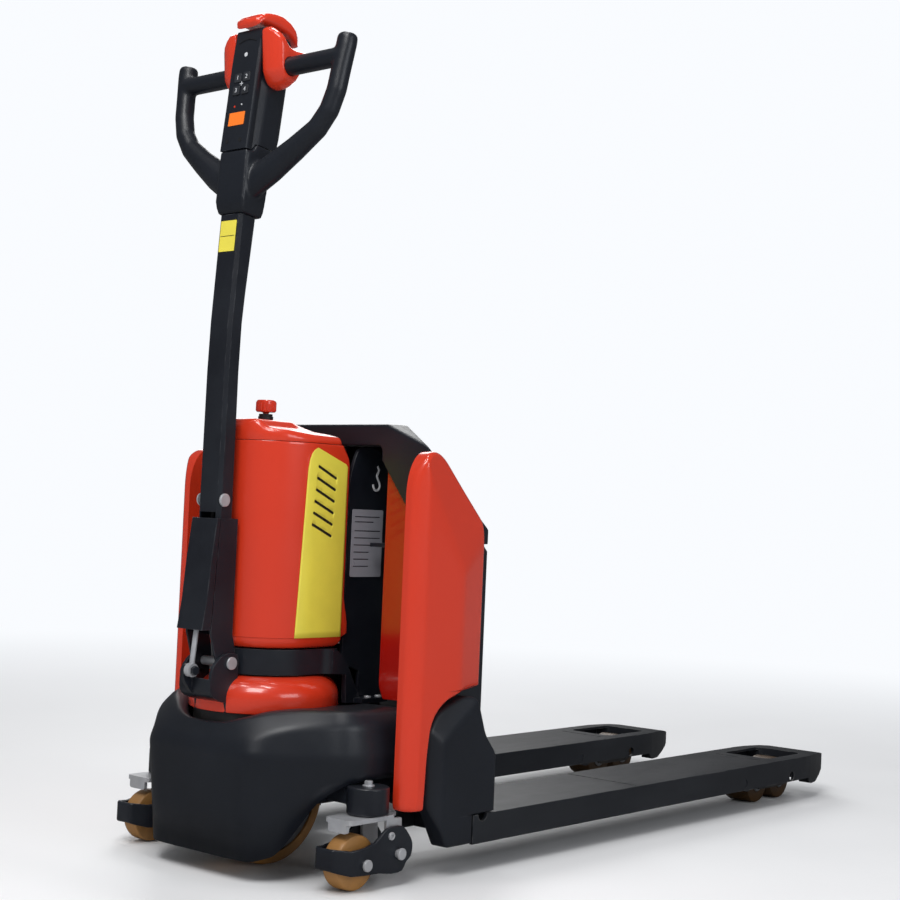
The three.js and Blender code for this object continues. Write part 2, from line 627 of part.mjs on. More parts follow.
// One bent plate: two cheeks beside the wheel, drawn together into a guard ahead of it.
function casterArmSolid() {
  const outer = CASTER.width / 2 + 15;
  const inner = outer - 6;
  const profile = slab(outline([
    [-88, 34, 6], [-60, 26], [-5, 24], [20, 20, 8], [46, 20, 10], [52, 34, 6], [64, 40, 8], [66, 62, 8],
    [44, 88, 10], [8, 88, 12], [-14, 66, 20], [-60, 62], [-88, 66, 6],
  ]), "y", [-outer, outer], 2);
  const bend = (half, nose, tail) => slab(outline([
    [tail, -half], [-54, -half, 12], [nose, -half / 2, 5], [nose, half / 2, 5], [-54, half, 12], [tail, half],
  ]), "z", [0, 100], 3);
  const axle = rod("y", 7, [-outer - 3, outer + 3], [-CASTER.trail, CASTER.radius], 12);
  return cut(
    join(cut(profile.intersect(bend(outer, -88, 67)), bend(inner, -82, 68)), axle),
    rod("y", 6 + RUN, [-outer - 1, outer + 1], [CASTER.hingeX, CASTER.hingeZ], 12),
  );
}

function casterWheelSolid() {
  const { radius, width } = CASTER;
  const half = width / 2;
  const bore = 7 + RUN;
  return turned("y", [
    [bore, -half], [15, -half], [17, 3 - half], [radius - 4, 2 - half], [radius, 6 - half],
    [radius, half - 6], [radius - 4, half - 2], [17, half - 3], [15, half], [bore, half], [bore, -half],
  ], [-CASTER.trail, radius], 20);
}

function buildCasters(chassis) {
  for (const [side, sign] of [["right", -1], ["left", 1]]) {
    const caster = new THREE.Group();
    caster.position.set(CASTER.x, sign * CASTER.y, 0);
    chassis.add(caster);
    const mount = sign < 0 ? casterMountSolid() : casterMountSolid().mirror([0, 1, 0]);
    part(caster, `caster_mount_${side}`, mount, BLACK_PAINT);
    part(caster, `caster_bracket_${side}`, casterBracketSolid(), ZINC);
    part(caster, `caster_arm_${side}`, casterArmSolid(), BLACK_PAINT);
    part(caster, `caster_wheel_${side}`, casterWheelSolid(), POLYURETHANE);
  }
}

function buildChassis() {
  const chassis = new THREE.Group();
  truck.add(chassis);
  part(chassis, "chassis_frame", chassisSolid(), BLACK_PAINT);
  part(chassis, "drive_collar", collarSolid(), BLACK_PAINT);
  part(chassis, "skirt", skirtSolid(), BLACK_PLASTIC);
  part(chassis, "drum_cover", drumSolid(), RED);
  part(chassis, "drum_cap", drumCapSolid(), RED);
  part(chassis, "stop_button", stopButtonSolid(), RED);
  part(chassis, "hydraulic_unit", hydraulicSolid(), CAST_ALLOY);
  part(chassis, "lift_cylinder", cylinderSolid(), BLACK_PAINT);
  buildCasters(chassis);
}

// ---- steered drive unit ----
function domeSolid() {
  const { radius, bottom, top } = DOME;
  const shell = turned("z", [
    [NECK + GAP, top], [NECK + GAP, top - 5], [94, top - 11], [radius - 5, bottom + 24], [radius - 5, bottom],
    [radius, bottom], [radius, bottom + 24], [radius - 3, bottom + 34], [radius - 10, bottom + 43],
    [radius - 21, top - 4], [NECK + 6, top], [NECK + GAP, top],
  ], [0, 0], 40);
  return cut(shell, block([-130, -70], [-36, 36], [bottom - 1, top + 1]));
}

function yokeSolid() {
  const plate = rod("z", 107, [214, 235], [0, 0], 32);
  const column = rod("z", NECK, [234, COLLAR.top - 2], [0, 0], 32);
  const arm = outline([[-38, 216], [-22, 96, 14], [22, 96, 14], [38, 216]]);
  const arms = [[-48, -41], [41, 48]].map((y) => slab(arm, "y", y, 2));
  const hanger = slab(outline([[-40, 88, 20], [40, 88, 20], [40, 216], [-40, 216]]), "y", [41, 48], 3);
  return cut(
    join(plate, column, ...arms, hanger),
    rod("z", 62, [236, 340], [0, 0], 24),
    rod("y", 14 + RUN, [-60, 60], [0, DRIVE.radius]),
  );
}

function driveHubSolid() {
  const rim = DRIVE.radius - 17;
  return turned("y", [
    [0, -47], [14, -47], [14, -36], [36, -34], [38, -20], [rim - 10, -20], [rim - 8, -31], [rim, -31],
    [rim, 31], [rim - 8, 31], [rim - 10, 20], [38, 20], [36, 34], [14, 36], [14, 47], [0, 47],
  ], [0, DRIVE.radius], 24);
}

// The tread is drawn with a flat facet at the bottom, where the loaded tyre lies on the floor.
function driveTyreSolid() {
  const { radius, width } = DRIVE;
  const sides = 32;
  const flats = 1 / Math.cos(Math.PI / sides);
  const tread = radius * flats;
  const inner = (radius - 17 + GAP) * flats;
  const half = width / 2;
  const tyre = turned("y", [
    [inner, -half], [tread - 4, -half], [tread, 4 - half], [tread, half - 4], [tread - 4, half],
    [inner, half], [inner, -half],
  ], [0, 0], sides);
  return tyre.rotate([0, 180 / sides, 0]).translate([0, 0, radius]);
}

function gearMotorSolid() {
  const gearcase = rod("y", 50, [48 + GAP, 64], [0, DRIVE.radius]);
  const motor = rod("y", 42, [63, 92], [0, 150]);
  const cap = rod("y", 34, [91, 98], [0, 150]);
  return join(gearcase, motor, cap);
}

function bracketSolid() {
  const { x, z, half } = TILLER;
  const base = slab(outline([
    [-82, 236], [-82, 272, 4], [-112, 276], [-128, 272, 8], [-141, 286], [-141, 262, 10], [-122, 253, 6],
    [-110, 250], [-109, 236],
  ]), "y", [-half - 6.4, half + 6.4], 3);
  const cheek = outline([
    [x + 15, 262], [x + 15, z + 14, 8], [x - 12, z + 15, 10], [x - 36, z - 4, 12], [-141, 262, 10], [x, 255],
  ]);
  const cheeks = [[-half - 6.4, -half - 0.4], [half + 0.4, half + 6.4]].map((y) => slab(cheek, "y", y, 2));
  const lug = slab(outline([
    [-128, 262], [-140, 262], [-158, 284, 8], [-160, STUD.z, 8], [-154, STUD.z + 9, 6],
    [-142, STUD.z + 8, 8], [-130, 276],
  ]), "y", [6, 13], 3);
  const stud = rod("y", 4, [-11, 8], [STUD.x, STUD.z], 16);
  const nut = rod("y", 7, [-11, -6], [STUD.x, STUD.z], 6);
  return cut(
    join(base, ...cheeks, lug, stud, nut),
    rod("y", 7 + RUN, [-40, 40], [x, z], 24),
  );
}

function pinSolid() {
  const { x, z, half } = TILLER;
  const reach = half + 6.4 + GAP;
  return join(
    rod("y", 7, [-reach - 1, reach + 1], [x, z], 24),
    rod("y", 9.5, [-reach - 3.5, -reach], [x, z], 24),
    rod("y", 9.5, [reach, reach + 3.5], [x, z], 24),
  );
}

function buildDriveUnit() {
  const steer = new THREE.Group();
  truck.add(steer);
  part(steer, "steer_dome", domeSolid(), RED);
  part(steer, "drive_yoke", yokeSolid(), CAST_IRON);
  part(steer, "gear_motor", gearMotorSolid(), CAST_ALLOY);
  part(steer, "drive_hub", driveHubSolid(), CAST_ALLOY);
  part(steer, "drive_tyre", driveTyreSolid(), POLYURETHANE);
  part(steer, "tiller_bracket", bracketSolid(), BLACK_PAINT);
  part(steer, "tiller_pin", pinSolid(), ZINC);
}

// ---- tiller ----
const COVER_FRONT = [[-137, 521], [-145, 458], [-150, 401], [-157, 357]];
const FORK_FRONT = [[-130, 521], [-136, 401], [-139, 352]];

function tillerForkSolid() {
  const { x, z, half } = TILLER;
  const side = slab(outline([
    [-96.6, 521], ...FORK_FRONT, [-126, 310, 12], [x - 8, z - 15, 8], [x + 8, z - 14, 8], [x + 14.5, z, 8],
    [x + 12, z + 22, 8], [-96.6, 350],
  ]), "y", [-half, half], 3);
  return cut(
    side,
    block([-160, -100.6], [-24.4, 24.4], [280, 530]),
    block([-160, -80], [-24.4, 24.4], [280, 346]),
    rod("y", 7 + RUN, [-40, 40], [x, z], 24),
  );
}

function springCoverSolid() {
  const { half } = TILLER;
  const rear = [[-139.5, 357], [-136.5, 401], [-130.5, 521]];
  const shell = slab(outline([...COVER_FRONT, ...rear]), "y", [-half, half]);
  const inside = slab(outline([
    [-134.3, 522], [-142.5, 458], [-147.5, 401], [-155.5, 350], [-120, 350], [-120, 522],
  ]), "y", [2.5 - half, half - 2.5]);
  return cut(shell, inside);
}

function tubeRing([front, frontZ], [rear, rearZ], half, chamfer) {
  const inner = [front + chamfer, rear - chamfer];
  return [
    [front, chamfer - half, frontZ], [inner[0], -half, frontZ], [inner[1], -half, rearZ],
    [rear, chamfer - half, rearZ], [rear, half - chamfer, rearZ], [inner[1], half, rearZ],
    [inner[0], half, frontZ], [front, half - chamfer, frontZ],
  ];
}

function tillerTubeSolid() {
  const stations = [
    [-131.5, 506, -101, 506], [-131, 600, -101, 600], [-129.5, 740, -101.5, 740], [-127, 815, -99.5, 813],
    [-124, 862, -95.5, 858], [-116.4, 976.2, -83, 971.6],
  ];
  const rings = (wall, half, chamfer) => stations.map(([front, frontZ, rear, rearZ], i) => {
    const over = wall * ({ 0: -1, 5: 1 }[i] ?? 0);
    return tubeRing([front + wall, frontZ + over], [rear - wall, rearZ + over], half - wall, chamfer);
  });
  return cut(
    loft(rings(0, 24, 5)), loft(rings(3, 24, 3)),
    rod("y", 7, [-30, 30], [-122, 548], 20),
    block([-140, -119], [-17, 17], [500, 530]),
  );
}

// Head of the tiller, drawn upright about its own origin: neck, crossbar and the two closed loops.
const LOOP = [
  [-176, 268, 13], [-176, 265, 16], [-175.5, 252, 16.5], [-172, 218, 15.5], [-168.5, 184, 15.5],
  [-159, 154, 16], [-140, 129, 17], [-101, 101, 20], [-60, 75, 24], [-18, 52, 26],
];

function handleFrameSolid() {
  const loops = [1, -1].map((mirror) => {
    const path = LOOP.map(([y, w, breadth], i) => ({
      at: [i < 7 ? 4 : 4 - (i - 6) * 2.2, y, w],
      half: [Math.min(breadth, 15 + Math.max(0, i - 6)), breadth],
    }));
    return swept(path, 12).scale([1, mirror, 1]);
  });
  const neck = slab(outline([
    [-18, 5.4], [-24, 20, 6], [-29.5, 100], [-16, 100], [-10, 112], [26, 112, 6], [25, 60], [23, 5.4],
  ]), "y", [-31, 31]);
  const waist = slab(outline([[-26, 0], [-31, 22, 6], [-31, 120], [31, 120], [31, 22, 6], [26, 0]]), "x", [-40, 40]);
  const collar = slab(outline([
    [-40, -24, 0], [-25, -31, 6], [23, -31, 6], [30, -22, 6], [30, 22, 6], [23, 31, 6], [-25, 31, 6],
    [-40, 24, 0],
  ]), "z", [0, 120]);
  const [u, w] = HEAD.bar;
  return join(...loops, neck.intersect(waist).intersect(collar), rod("y", 14.5, [-172, 172], [u, w], 20));
}

function keypadPanelSolid() {
  const side = slab(outline([
    [-30.5, 101], [-31.5, 180], [-33.5, 245, 60], [-31, 291, 3], [-18, 294, 4], [-17, 101],
  ]), "y", [-29.5, 29.5]);
  const front = slab(outline([
    [-29.5, 101], [-29.5, 292, 4], [29.5, 292, 4], [29.5, 101],
  ]), "x", [-40, -10]);
  const edges = slab(outline([
    [-40, -25], [-27, -29.5, 3], [-10, -24], [-10, 24], [-27, 29.5, 3], [-40, 25],
  ]), "z", [90, 300]);
  const pockets = KEYS.map(([y, w]) => block([-50, -27.5], [y - 7.4, y + 7.4], [w - 7.4, w + 7.4]));
  return cut(side.intersect(front).intersect(edges), ...pockets);
}

function keySolid([y, w]) {
  return slab(outline([
    [y - 7, w - 7, 2], [y + 7, w - 7, 2], [y + 7, w + 7, 2], [y - 7, w + 7, 2],
  ]), "x", [-33.6, -29.4], 3);
}

function headRearSolid() {
  const [u, w] = HEAD.bar;
  const side = slab(outline([
    [-16.4, 102], [-16.4, 288], [30, 290, 14], [38, 262, 10], [38.5, 150, 20], [30, 113, 6], [-10.6, 112.6],
  ]), "y", [-29, 29]);
  const plan = slab(outline([
    [-20, -23], [-4, -29, 4], [30, -29, 8], [40, -20, 6], [40, 20, 6], [30, 29, 8], [-4, 29, 4], [-20, 23],
  ]), "z", [90, 300]);
  return cut(side.intersect(plan), rod("y", 14.5 + GAP, [-40, 40], [u, w], 20));
}

// Butterfly throttle: a sleeve on the crossbar with one wing to the front and one to the rear.
function throttleSolid() {
  const [u, w] = HEAD.bar;
  const outlineAt = (reach) => [
    [-24, -10], [-15, -26], [3, -31], [19, -22], [26, -4], [35, 16], [58, 28], [56, 42], [30, 38], [6, 33],
    [-16, 40], [-30, 56], [-37, 50], [-29, 20],
  ].map(([a, b]) => [u + a * reach, w + b * reach]);
  const ring = (y, reach) => outlineAt(reach).map(([a, b]) => [a, y, b]);
  return cut(
    loft([ring(-64, 0.66), ring(-56, 0.88), ring(-44, 1), ring(-30, 1)]),
    rod("y", 14.5 + GAP, [-80, -20], [u, w], 20),
  );
}

function bellyButtonSolid() {
  const side = slab(outline([
    [-52, 300], [-56, 309, 4], [-24, 326, 20], [12, 331, 24], [42, 316, 18], [56, 288, 4], [50, 284, 3],
    [30, 298, 12], [4, 306, 10], [-30, 301],
  ]), "y", [-29.6, 29.6], 4);
  const plan = slab(outline([
    [-60, -27, 8], [-10, -29.6, 8], [28, -29.6, 20], [60, -16, 12], [60, 16, 12], [28, 29.6, 20],
    [-10, 29.6, 8], [-60, 27, 8],
  ]), "z", [270, 340]);
  const stem = block([-10, 14], [-16, 16], [298, 309]);
  return join(side.intersect(plan), stem);
}

function buildTiller() {
  const tiller = new THREE.Group();
  truck.add(tiller);
  part(tiller, "tiller_fork", tillerForkSolid(), BLACK_PAINT);
  part(tiller, "spring_cover", springCoverSolid(), BLACK_PAINT);
  part(tiller, "tiller_tube", tillerTubeSolid(), BLACK_PAINT);
  const head = new THREE.Group();
  head.position.set(HEAD.x, 0, HEAD.z);
  head.rotation.y = THREE.MathUtils.degToRad(HEAD.tilt);
  tiller.add(head);
  part(head, "handle_frame", handleFrameSolid(), BLACK_PLASTIC);
  part(head, "keypad_panel", keypadPanelSolid(), BLACK_PLASTIC);
  part(head, "head_rear_cover", headRearSolid(), BLACK_PLASTIC);
  part(head, "belly_button", bellyButtonSolid(), RED);
  KEYS.forEach((key, i) => part(head, `key_${i + 1}`, keySolid(key), KEY_GREY));
  bothSides(head, (group, side) => part(group, `throttle_${side}`, throttleSolid(), RED));
}

// The gas spring, drawn upright from its ball joint and then leaned to its rest angle.
function buildGasSpring() {
  const spring = new THREE.Group();
  spring.position.set(STUD.x, 0, STUD.z);
  spring.rotation.y = Math.atan2(27, 251);
  truck.add(spring);
  const socket = rod("y", 10, [-5, 5], [0, 0], 24);
  const eye = rod("y", 4 + RUN, [-6, 6], [0, 0], 16);
  const gasRod = cut(join(socket, rod("z", 4, [6, 128], [0, 0], 16)), eye);
  const cylinder = cut(rod("z", 6.5, [72, 200], [0, 0], 20), rod("z", 4 + RUN, [70, 194], [0, 0], 16));
  part(spring, "gas_rod", gasRod, ZINC);
  part(spring, "gas_cylinder", cylinder, BLACK_PAINT);
}

buildForkFrame();
buildChassis();
buildDriveUnit();
buildTiller();
buildGasSpring();

export default truck;
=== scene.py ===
import math

import bmesh
import bpy
from mathutils import Matrix, Vector


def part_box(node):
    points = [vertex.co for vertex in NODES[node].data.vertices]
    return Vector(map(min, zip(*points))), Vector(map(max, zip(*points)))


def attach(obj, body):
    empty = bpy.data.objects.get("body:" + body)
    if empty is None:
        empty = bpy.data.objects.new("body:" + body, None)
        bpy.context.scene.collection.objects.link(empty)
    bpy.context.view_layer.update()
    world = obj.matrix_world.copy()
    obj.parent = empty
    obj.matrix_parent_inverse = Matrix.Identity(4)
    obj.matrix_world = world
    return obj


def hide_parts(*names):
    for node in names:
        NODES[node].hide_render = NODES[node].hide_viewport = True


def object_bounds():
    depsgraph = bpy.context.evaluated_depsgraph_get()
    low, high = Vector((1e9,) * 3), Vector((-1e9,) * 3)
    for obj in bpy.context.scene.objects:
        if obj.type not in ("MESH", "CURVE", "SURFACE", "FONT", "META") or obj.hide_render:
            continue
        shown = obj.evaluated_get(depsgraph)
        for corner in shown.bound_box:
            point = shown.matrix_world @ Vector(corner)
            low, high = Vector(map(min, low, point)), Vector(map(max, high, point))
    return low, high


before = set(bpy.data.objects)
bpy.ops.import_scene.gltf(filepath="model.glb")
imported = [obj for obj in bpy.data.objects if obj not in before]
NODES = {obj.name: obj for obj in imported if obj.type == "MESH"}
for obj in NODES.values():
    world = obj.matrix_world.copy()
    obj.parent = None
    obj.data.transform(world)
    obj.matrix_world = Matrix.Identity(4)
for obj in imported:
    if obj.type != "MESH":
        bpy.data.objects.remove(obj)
cad_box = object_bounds()
SIDES = (("right", -1), ("left", 1))
MM = 0.001


# ---- finishes ----
class Finish:
    """A node material that is built up in steps from one Principled surface."""

    def __init__(self, name, colour, roughness, metallic=0.0):
        self.material = bpy.data.materials.new(name)
        self.material.use_nodes = True
        self.tree = self.material.node_tree
        self.surface = self.tree.nodes["Principled BSDF"]
        self.place = self.tree.nodes.new("ShaderNodeTexCoord").outputs["Object"]
        self.colour = self.add("ShaderNodeRGB").outputs[0]
        self.colour.default_value = (*colour, 1)
        self.roughness = self.value(roughness)
        self.normal = None
        self.surface.inputs["Metallic"].default_value = metallic

    def add(self, kind, **settings):
        node = self.tree.nodes.new(kind)
        for key, setting in settings.items():
            setattr(node, key, setting)
        return node

    def feed(self, socket, source):
        if isinstance(source, bpy.types.NodeSocket):
            self.tree.links.new(source, socket)
        else:
            socket.default_value = source

    def value(self, number):
        node = self.add("ShaderNodeValue")
        node.outputs[0].default_value = number
        return node.outputs[0]

    def maths(self, operation, a, b=0.0, clamp=False):
        node = self.add("ShaderNodeMath", operation=operation, use_clamp=clamp)
        self.feed(node.inputs[0], a)
        self.feed(node.inputs[1], b)
        return node.outputs[0]

    def noise(self, scale, detail=3.0, stretch=(1, 1, 1), low=0.0, high=1.0):
        mapping = self.add("ShaderNodeMapping")
        self.feed(mapping.inputs["Vector"], self.place)
        mapping.inputs["Scale"].default_value = stretch
        texture = self.add("ShaderNodeTexNoise")
        self.feed(texture.inputs["Vector"], mapping.outputs[0])
        texture.inputs["Scale"].default_value = scale
        texture.inputs["Detail"].default_value = detail
        spread = self.add("ShaderNodeMapRange")
        self.feed(spread.inputs["Value"], texture.outputs["Fac"])
        spread.inputs["From Min"].default_value = low
        spread.inputs["From Max"].default_value = high
        return spread.outputs["Result"]

    def blend(self, mask, colour, mode="MIX"):
        node = self.add("ShaderNodeMix", data_type="RGBA", blend_type=mode)
        self.feed(node.inputs["Factor"], mask)
        self.feed(node.inputs["A"], self.colour)
        if isinstance(colour, tuple):
            colour = (*colour, 1)
        self.feed(node.inputs["B"], colour)
        self.colour = node.outputs["Result"]
        return self

    def mottle(self, scale, share, colour, detail=4.0, stretch=(1, 1, 1)):
        patches = self.noise(scale, detail, stretch, 0.35, 0.7)
        return self.blend(self.maths("MULTIPLY", patches, share), colour)

    def rough_patches(self, scale, spread, stretch=(1, 1, 1)):
        patches = self.maths("SUBTRACT", self.noise(scale, 5.0, stretch), 0.5)
        self.roughness = self.maths("ADD", self.roughness, self.maths("MULTIPLY", patches, spread), True)
        return self

    def bump(self, scale, depth, detail=2.0, stretch=(1, 1, 1)):
        node = self.add("ShaderNodeBump")
        node.inputs["Distance"].default_value = depth
        node.inputs["Strength"].default_value = 1.0
        self.feed(node.inputs["Height"], self.noise(scale, detail, stretch))
        if self.normal:
            self.feed(node.inputs["Normal"], self.normal)
        self.normal = node.outputs["Normal"]
        return self

    def worn_edges(self, radius, colour, share=0.8, scale=60.0):
        rounded = self.add("ShaderNodeBevel", samples=4)
        rounded.inputs["Radius"].default_value = radius
        true = self.add("ShaderNodeNewGeometry").outputs["Normal"]
        dot = self.add("ShaderNodeVectorMath", operation="DOT_PRODUCT")
        self.feed(dot.inputs[0], rounded.outputs[0])
        self.feed(dot.inputs[1], true)
        edge = self.maths("SUBTRACT", 1.0, dot.outputs["Value"])
        edge = self.maths("MULTIPLY", edge, 9.0, True)
        broken = self.maths("MULTIPLY", edge, self.noise(scale, 6.0, (1, 1, 1), 0.48, 0.62))
        return self.blend(self.maths("MULTIPLY", broken, share, True), colour)

    def dust(self, colour, share, scale=9.0):
        normal = self.add("ShaderNodeNewGeometry").outputs["Normal"]
        split = self.add("ShaderNodeSeparateXYZ")
        self.feed(split.inputs[0], normal)
        up = self.maths("MULTIPLY", split.outputs["Z"], self.noise(scale, 6.0, (1, 1, 1), 0.3, 0.8), True)
        mask = self.maths("MULTIPLY", up, share, True)
        self.roughness = self.maths("ADD", self.roughness, self.maths("MULTIPLY", mask, 0.5), True)
        return self.blend(mask, colour)

    def coat(self, weight, roughness=0.05):
        self.surface.inputs["Coat Weight"].default_value = weight
        self.surface.inputs["Coat Roughness"].default_value = roughness
        return self

    def done(self):
        self.feed(self.surface.inputs["Base Color"], self.colour)
        self.feed(self.surface.inputs["Roughness"], self.roughness)
        if self.normal:
            self.feed(self.surface.inputs["Normal"], self.normal)
        return self.material


def red_gloss(name, colour):
    look = Finish(name, colour, 0.24)
    look.mottle(3.0, 0.35, tuple(channel * 1.15 for channel in colour)).rough_patches(14.0, 0.10)
    look.bump(190.0, 0.00012)
    return look.coat(0.6, 0.06).done()


def black_moulding():
    look = Finish("black_moulding", (0.0075, 0.0095, 0.0145), 0.36)
    look.mottle(7.0, 0.5, (0.013, 0.016, 0.023)).rough_patches(22.0, 0.16)
    look.bump(900.0, 0.00010).bump(60.0, 0.00012)
    return look.dust((0.07, 0.07, 0.075), 0.18).worn_edges(0.0015, (0.07, 0.075, 0.085), 0.35).done()


def black_paint():
    look = Finish("black_paint", (0.0065, 0.008, 0.013), 0.34, 0.0)
    look.mottle(11.0, 0.5, (0.020, 0.024, 0.031)).rough_patches(30.0, 0.14).bump(1300.0, 0.00008)
    look.bump(160.0, 0.00010).dust((0.07, 0.07, 0.075), 0.12)
    return look.worn_edges(0.0012, (0.16, 0.16, 0.17), 0.5).coat(0.15, 0.2).done()


def fork_paint():
    look = Finish("fork_paint", (0.007, 0.0085, 0.0125), 0.40, 0.0)
    look.mottle(9.0, 0.6, (0.022, 0.025, 0.030), 5.0, (0.35, 1, 1)).rough_patches(20.0, 0.2, (0.3, 1, 1))
    look.bump(700.0, 0.00014).bump(45.0, 0.00018)
    look.dust((0.08, 0.08, 0.085), 0.18, 14.0)
    return look.worn_edges(0.0016, (0.24, 0.23, 0.22), 0.55, 40.0).done()


def zinc():
    look = Finish("zinc", (0.60, 0.61, 0.64), 0.34, 0.5)
    look.mottle(40.0, 0.6, (0.42, 0.43, 0.46)).rough_patches(70.0, 0.25).bump(420.0, 0.00008)
    return look.mottle(16.0, 0.25, (0.30, 0.27, 0.22)).done()


def cast_alloy():
    look = Finish("cast_alloy", (0.34, 0.35, 0.37), 0.48, 0.85)
    return look.mottle(30.0, 0.5, (0.24, 0.25, 0.26)).rough_patches(60.0, 0.2).bump(330.0, 0.0003).done()


def cast_iron():
    look = Finish("cast_iron", (0.055, 0.055, 0.058), 0.5, 0.6)
    look.mottle(24.0, 0.5, (0.10, 0.09, 0.08)).rough_patches(50.0, 0.2).bump(300.0, 0.0003)
    return look.worn_edges(0.001, (0.28, 0.27, 0.26), 0.6).done()


def polyurethane(name, shade):
    look = Finish(name, (0.40 * shade, 0.19 * shade, 0.05 * shade), 0.38)
    look.mottle(26.0, 0.7, (0.22 * shade, 0.12 * shade, 0.05 * shade), 6.0, (1, 0.4, 1))
    look.rough_patches(40.0, 0.25).bump(240.0, 0.00020)
    return look.dust((0.30 * shade, 0.22 * shade, 0.13 * shade), 0.25).done()


def sticker(name, colour, roughness=0.42):
    look = Finish(name, colour, roughness)
    look.mottle(30.0, 0.4, tuple(channel * 0.86 for channel in colour))
    return look.rough_patches(60.0, 0.12).bump(380.0, 0.00004).done()


def rubber(name, colour, roughness):
    look = Finish(name, colour, roughness)
    look.mottle(40.0, 0.4, tuple(channel * 1.9 for channel in colour))
    return look.rough_patches(50.0, 0.2).bump(800.0, 0.0001).done()


def floor_finish():
    """Pale floor that fades into the white background, and is dim in reflections."""
    look = Finish("floor_finish", (0.88, 0.88, 0.885), 0.55)
    look.mottle(1.4, 0.25, (0.84, 0.84, 0.85)).rough_patches(5.0, 0.15).bump(120.0, 0.0001)
    material = look.done()
    reach = look.add("ShaderNodeVectorMath", operation="LENGTH")
    look.feed(reach.inputs[0], look.place)
    fade = look.add("ShaderNodeMapRange", interpolation_type="SMOOTHSTEP")
    look.feed(fade.inputs["Value"], reach.outputs["Value"])
    fade.inputs["From Min"].default_value = 1.2
    fade.inputs["From Max"].default_value = 4.5
    glow = look.add("ShaderNodeEmission")
    glow.inputs["Color"].default_value = (0.95, 0.97, 1.0, 1)
    mix = look.add("ShaderNodeMixShader")
    look.feed(mix.inputs[0], fade.outputs["Result"])
    look.feed(mix.inputs[1], look.surface.outputs[0])
    look.feed(mix.inputs[2], glow.outputs[0])
    dark = look.add("ShaderNodeEmission")
    dark.inputs["Color"].default_value = (0, 0, 0, 1)
    seen = look.add("ShaderNodeMixShader")
    mirrored = look.add("ShaderNodeLightPath").outputs["Is Glossy Ray"]
    look.feed(seen.inputs[0], look.maths("MULTIPLY", mirrored, 0.82))
    look.feed(seen.inputs[1], mix.outputs[0])
    look.feed(seen.inputs[2], dark.outputs[0])
    look.feed(look.tree.nodes["Material Output"].inputs["Surface"], seen.outputs[0])
    return material


RED = red_gloss("red_gloss", (0.60, 0.036, 0.012))
# Darker red for the recessed face of the side panels: painted shade of the red gloss.
RED_PAINTED_SHADE = red_gloss("red_painted_shade", (0.34, 0.005, 0.002))
MOULDING = black_moulding()
PAINT = black_paint()
FORK_PAINT = fork_paint()
ZINC = zinc()
ALLOY = cast_alloy()
IRON = cast_iron()
URETHANE = polyurethane("polyurethane", 1.0)
# Load-wheel polyurethane darkened to 0.16 of its colour: painted shade under the forks.
LOAD_TREAD_PAINTED_SHADE = polyurethane("load_tread_painted_shade", 0.16)
YELLOW = sticker("yellow_sticker", (0.78, 0.67, 0.07))
ORANGE = sticker("orange_sticker", (0.90, 0.19, 0.012))
SILVER = sticker("silver_sticker", (0.34, 0.34, 0.38), 0.3)
PALE = sticker("pale_print", (0.55, 0.56, 0.58))
# Near-black for print and small black parts; in the vent slots and the tiller's holes it is painted shade.
INK_AND_PAINTED_SHADE = sticker("ink_and_painted_shade", (0.010, 0.010, 0.012), 0.5)
KEYS = rubber("key_rubber", (0.018, 0.020, 0.025), 0.5)
CASE = rubber("battery_case", (0.035, 0.036, 0.038), 0.55)


# ---- shaping ----
def edge_bevel(piece, width, angle, segments=2):
    bevel = piece.modifiers.new("bevel", "BEVEL")
    bevel.width = width
    bevel.segments = segments
    bevel.limit_method = "ANGLE"
    bevel.angle_limit = math.radians(angle)
    bevel.use_clamp_overlap = True
    bevel.harden_normals = True


def round_edges(piece, width, segments=3, angle=28):
    """Rounds the true edges of a faceted solid, after its flat faces are joined up again."""
    weld = piece.modifiers.new("weld", "WELD")
    weld.merge_threshold = 0.00002
    flat = piece.modifiers.new("flat", "DECIMATE")
    flat.decimate_type = "DISSOLVE"
    flat.angle_limit = math.radians(0.6)
    edge_bevel(piece, width, angle, segments)
    smooth = piece.modifiers.new("normals", "WEIGHTED_NORMAL")
    smooth.keep_sharp = False
    for polygon in piece.data.polygons:
        polygon.use_smooth = True


def soften(piece, voxel, rounds):
    """Turns a faceted solid into one moulded skin whose edges and joins run into each other."""
    remesh = piece.modifiers.new("skin", "REMESH")
    remesh.mode = "VOXEL"
    remesh.voxel_size = voxel
    remesh.use_smooth_shade = True
    smooth = piece.modifiers.new("smooth", "SMOOTH")
    smooth.factor = 0.5
    smooth.iterations = rounds


def ridden(name, mesh, body, material):
    piece = bpy.data.objects.new(name, mesh)
    bpy.context.collection.objects.link(piece)
    mesh.materials.append(material)
    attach(piece, body)
    return piece


def mesh_of(name, bm, angle=32):
    bmesh.ops.recalc_face_normals(bm, faces=bm.faces)
    mesh = bpy.data.meshes.new(name)
    bm.to_mesh(mesh)
    bm.free()
    for polygon in mesh.polygons:
        polygon.use_smooth = True
    mesh.set_sharp_from_angle(angle=math.radians(angle))
    return mesh


AXIS_TURN = {
    "x": Matrix.Rotation(math.pi / 2, 4, "Y"),
    "y": Matrix.Rotation(-math.pi / 2, 4, "X"),
    "z": Matrix.Identity(4),
}


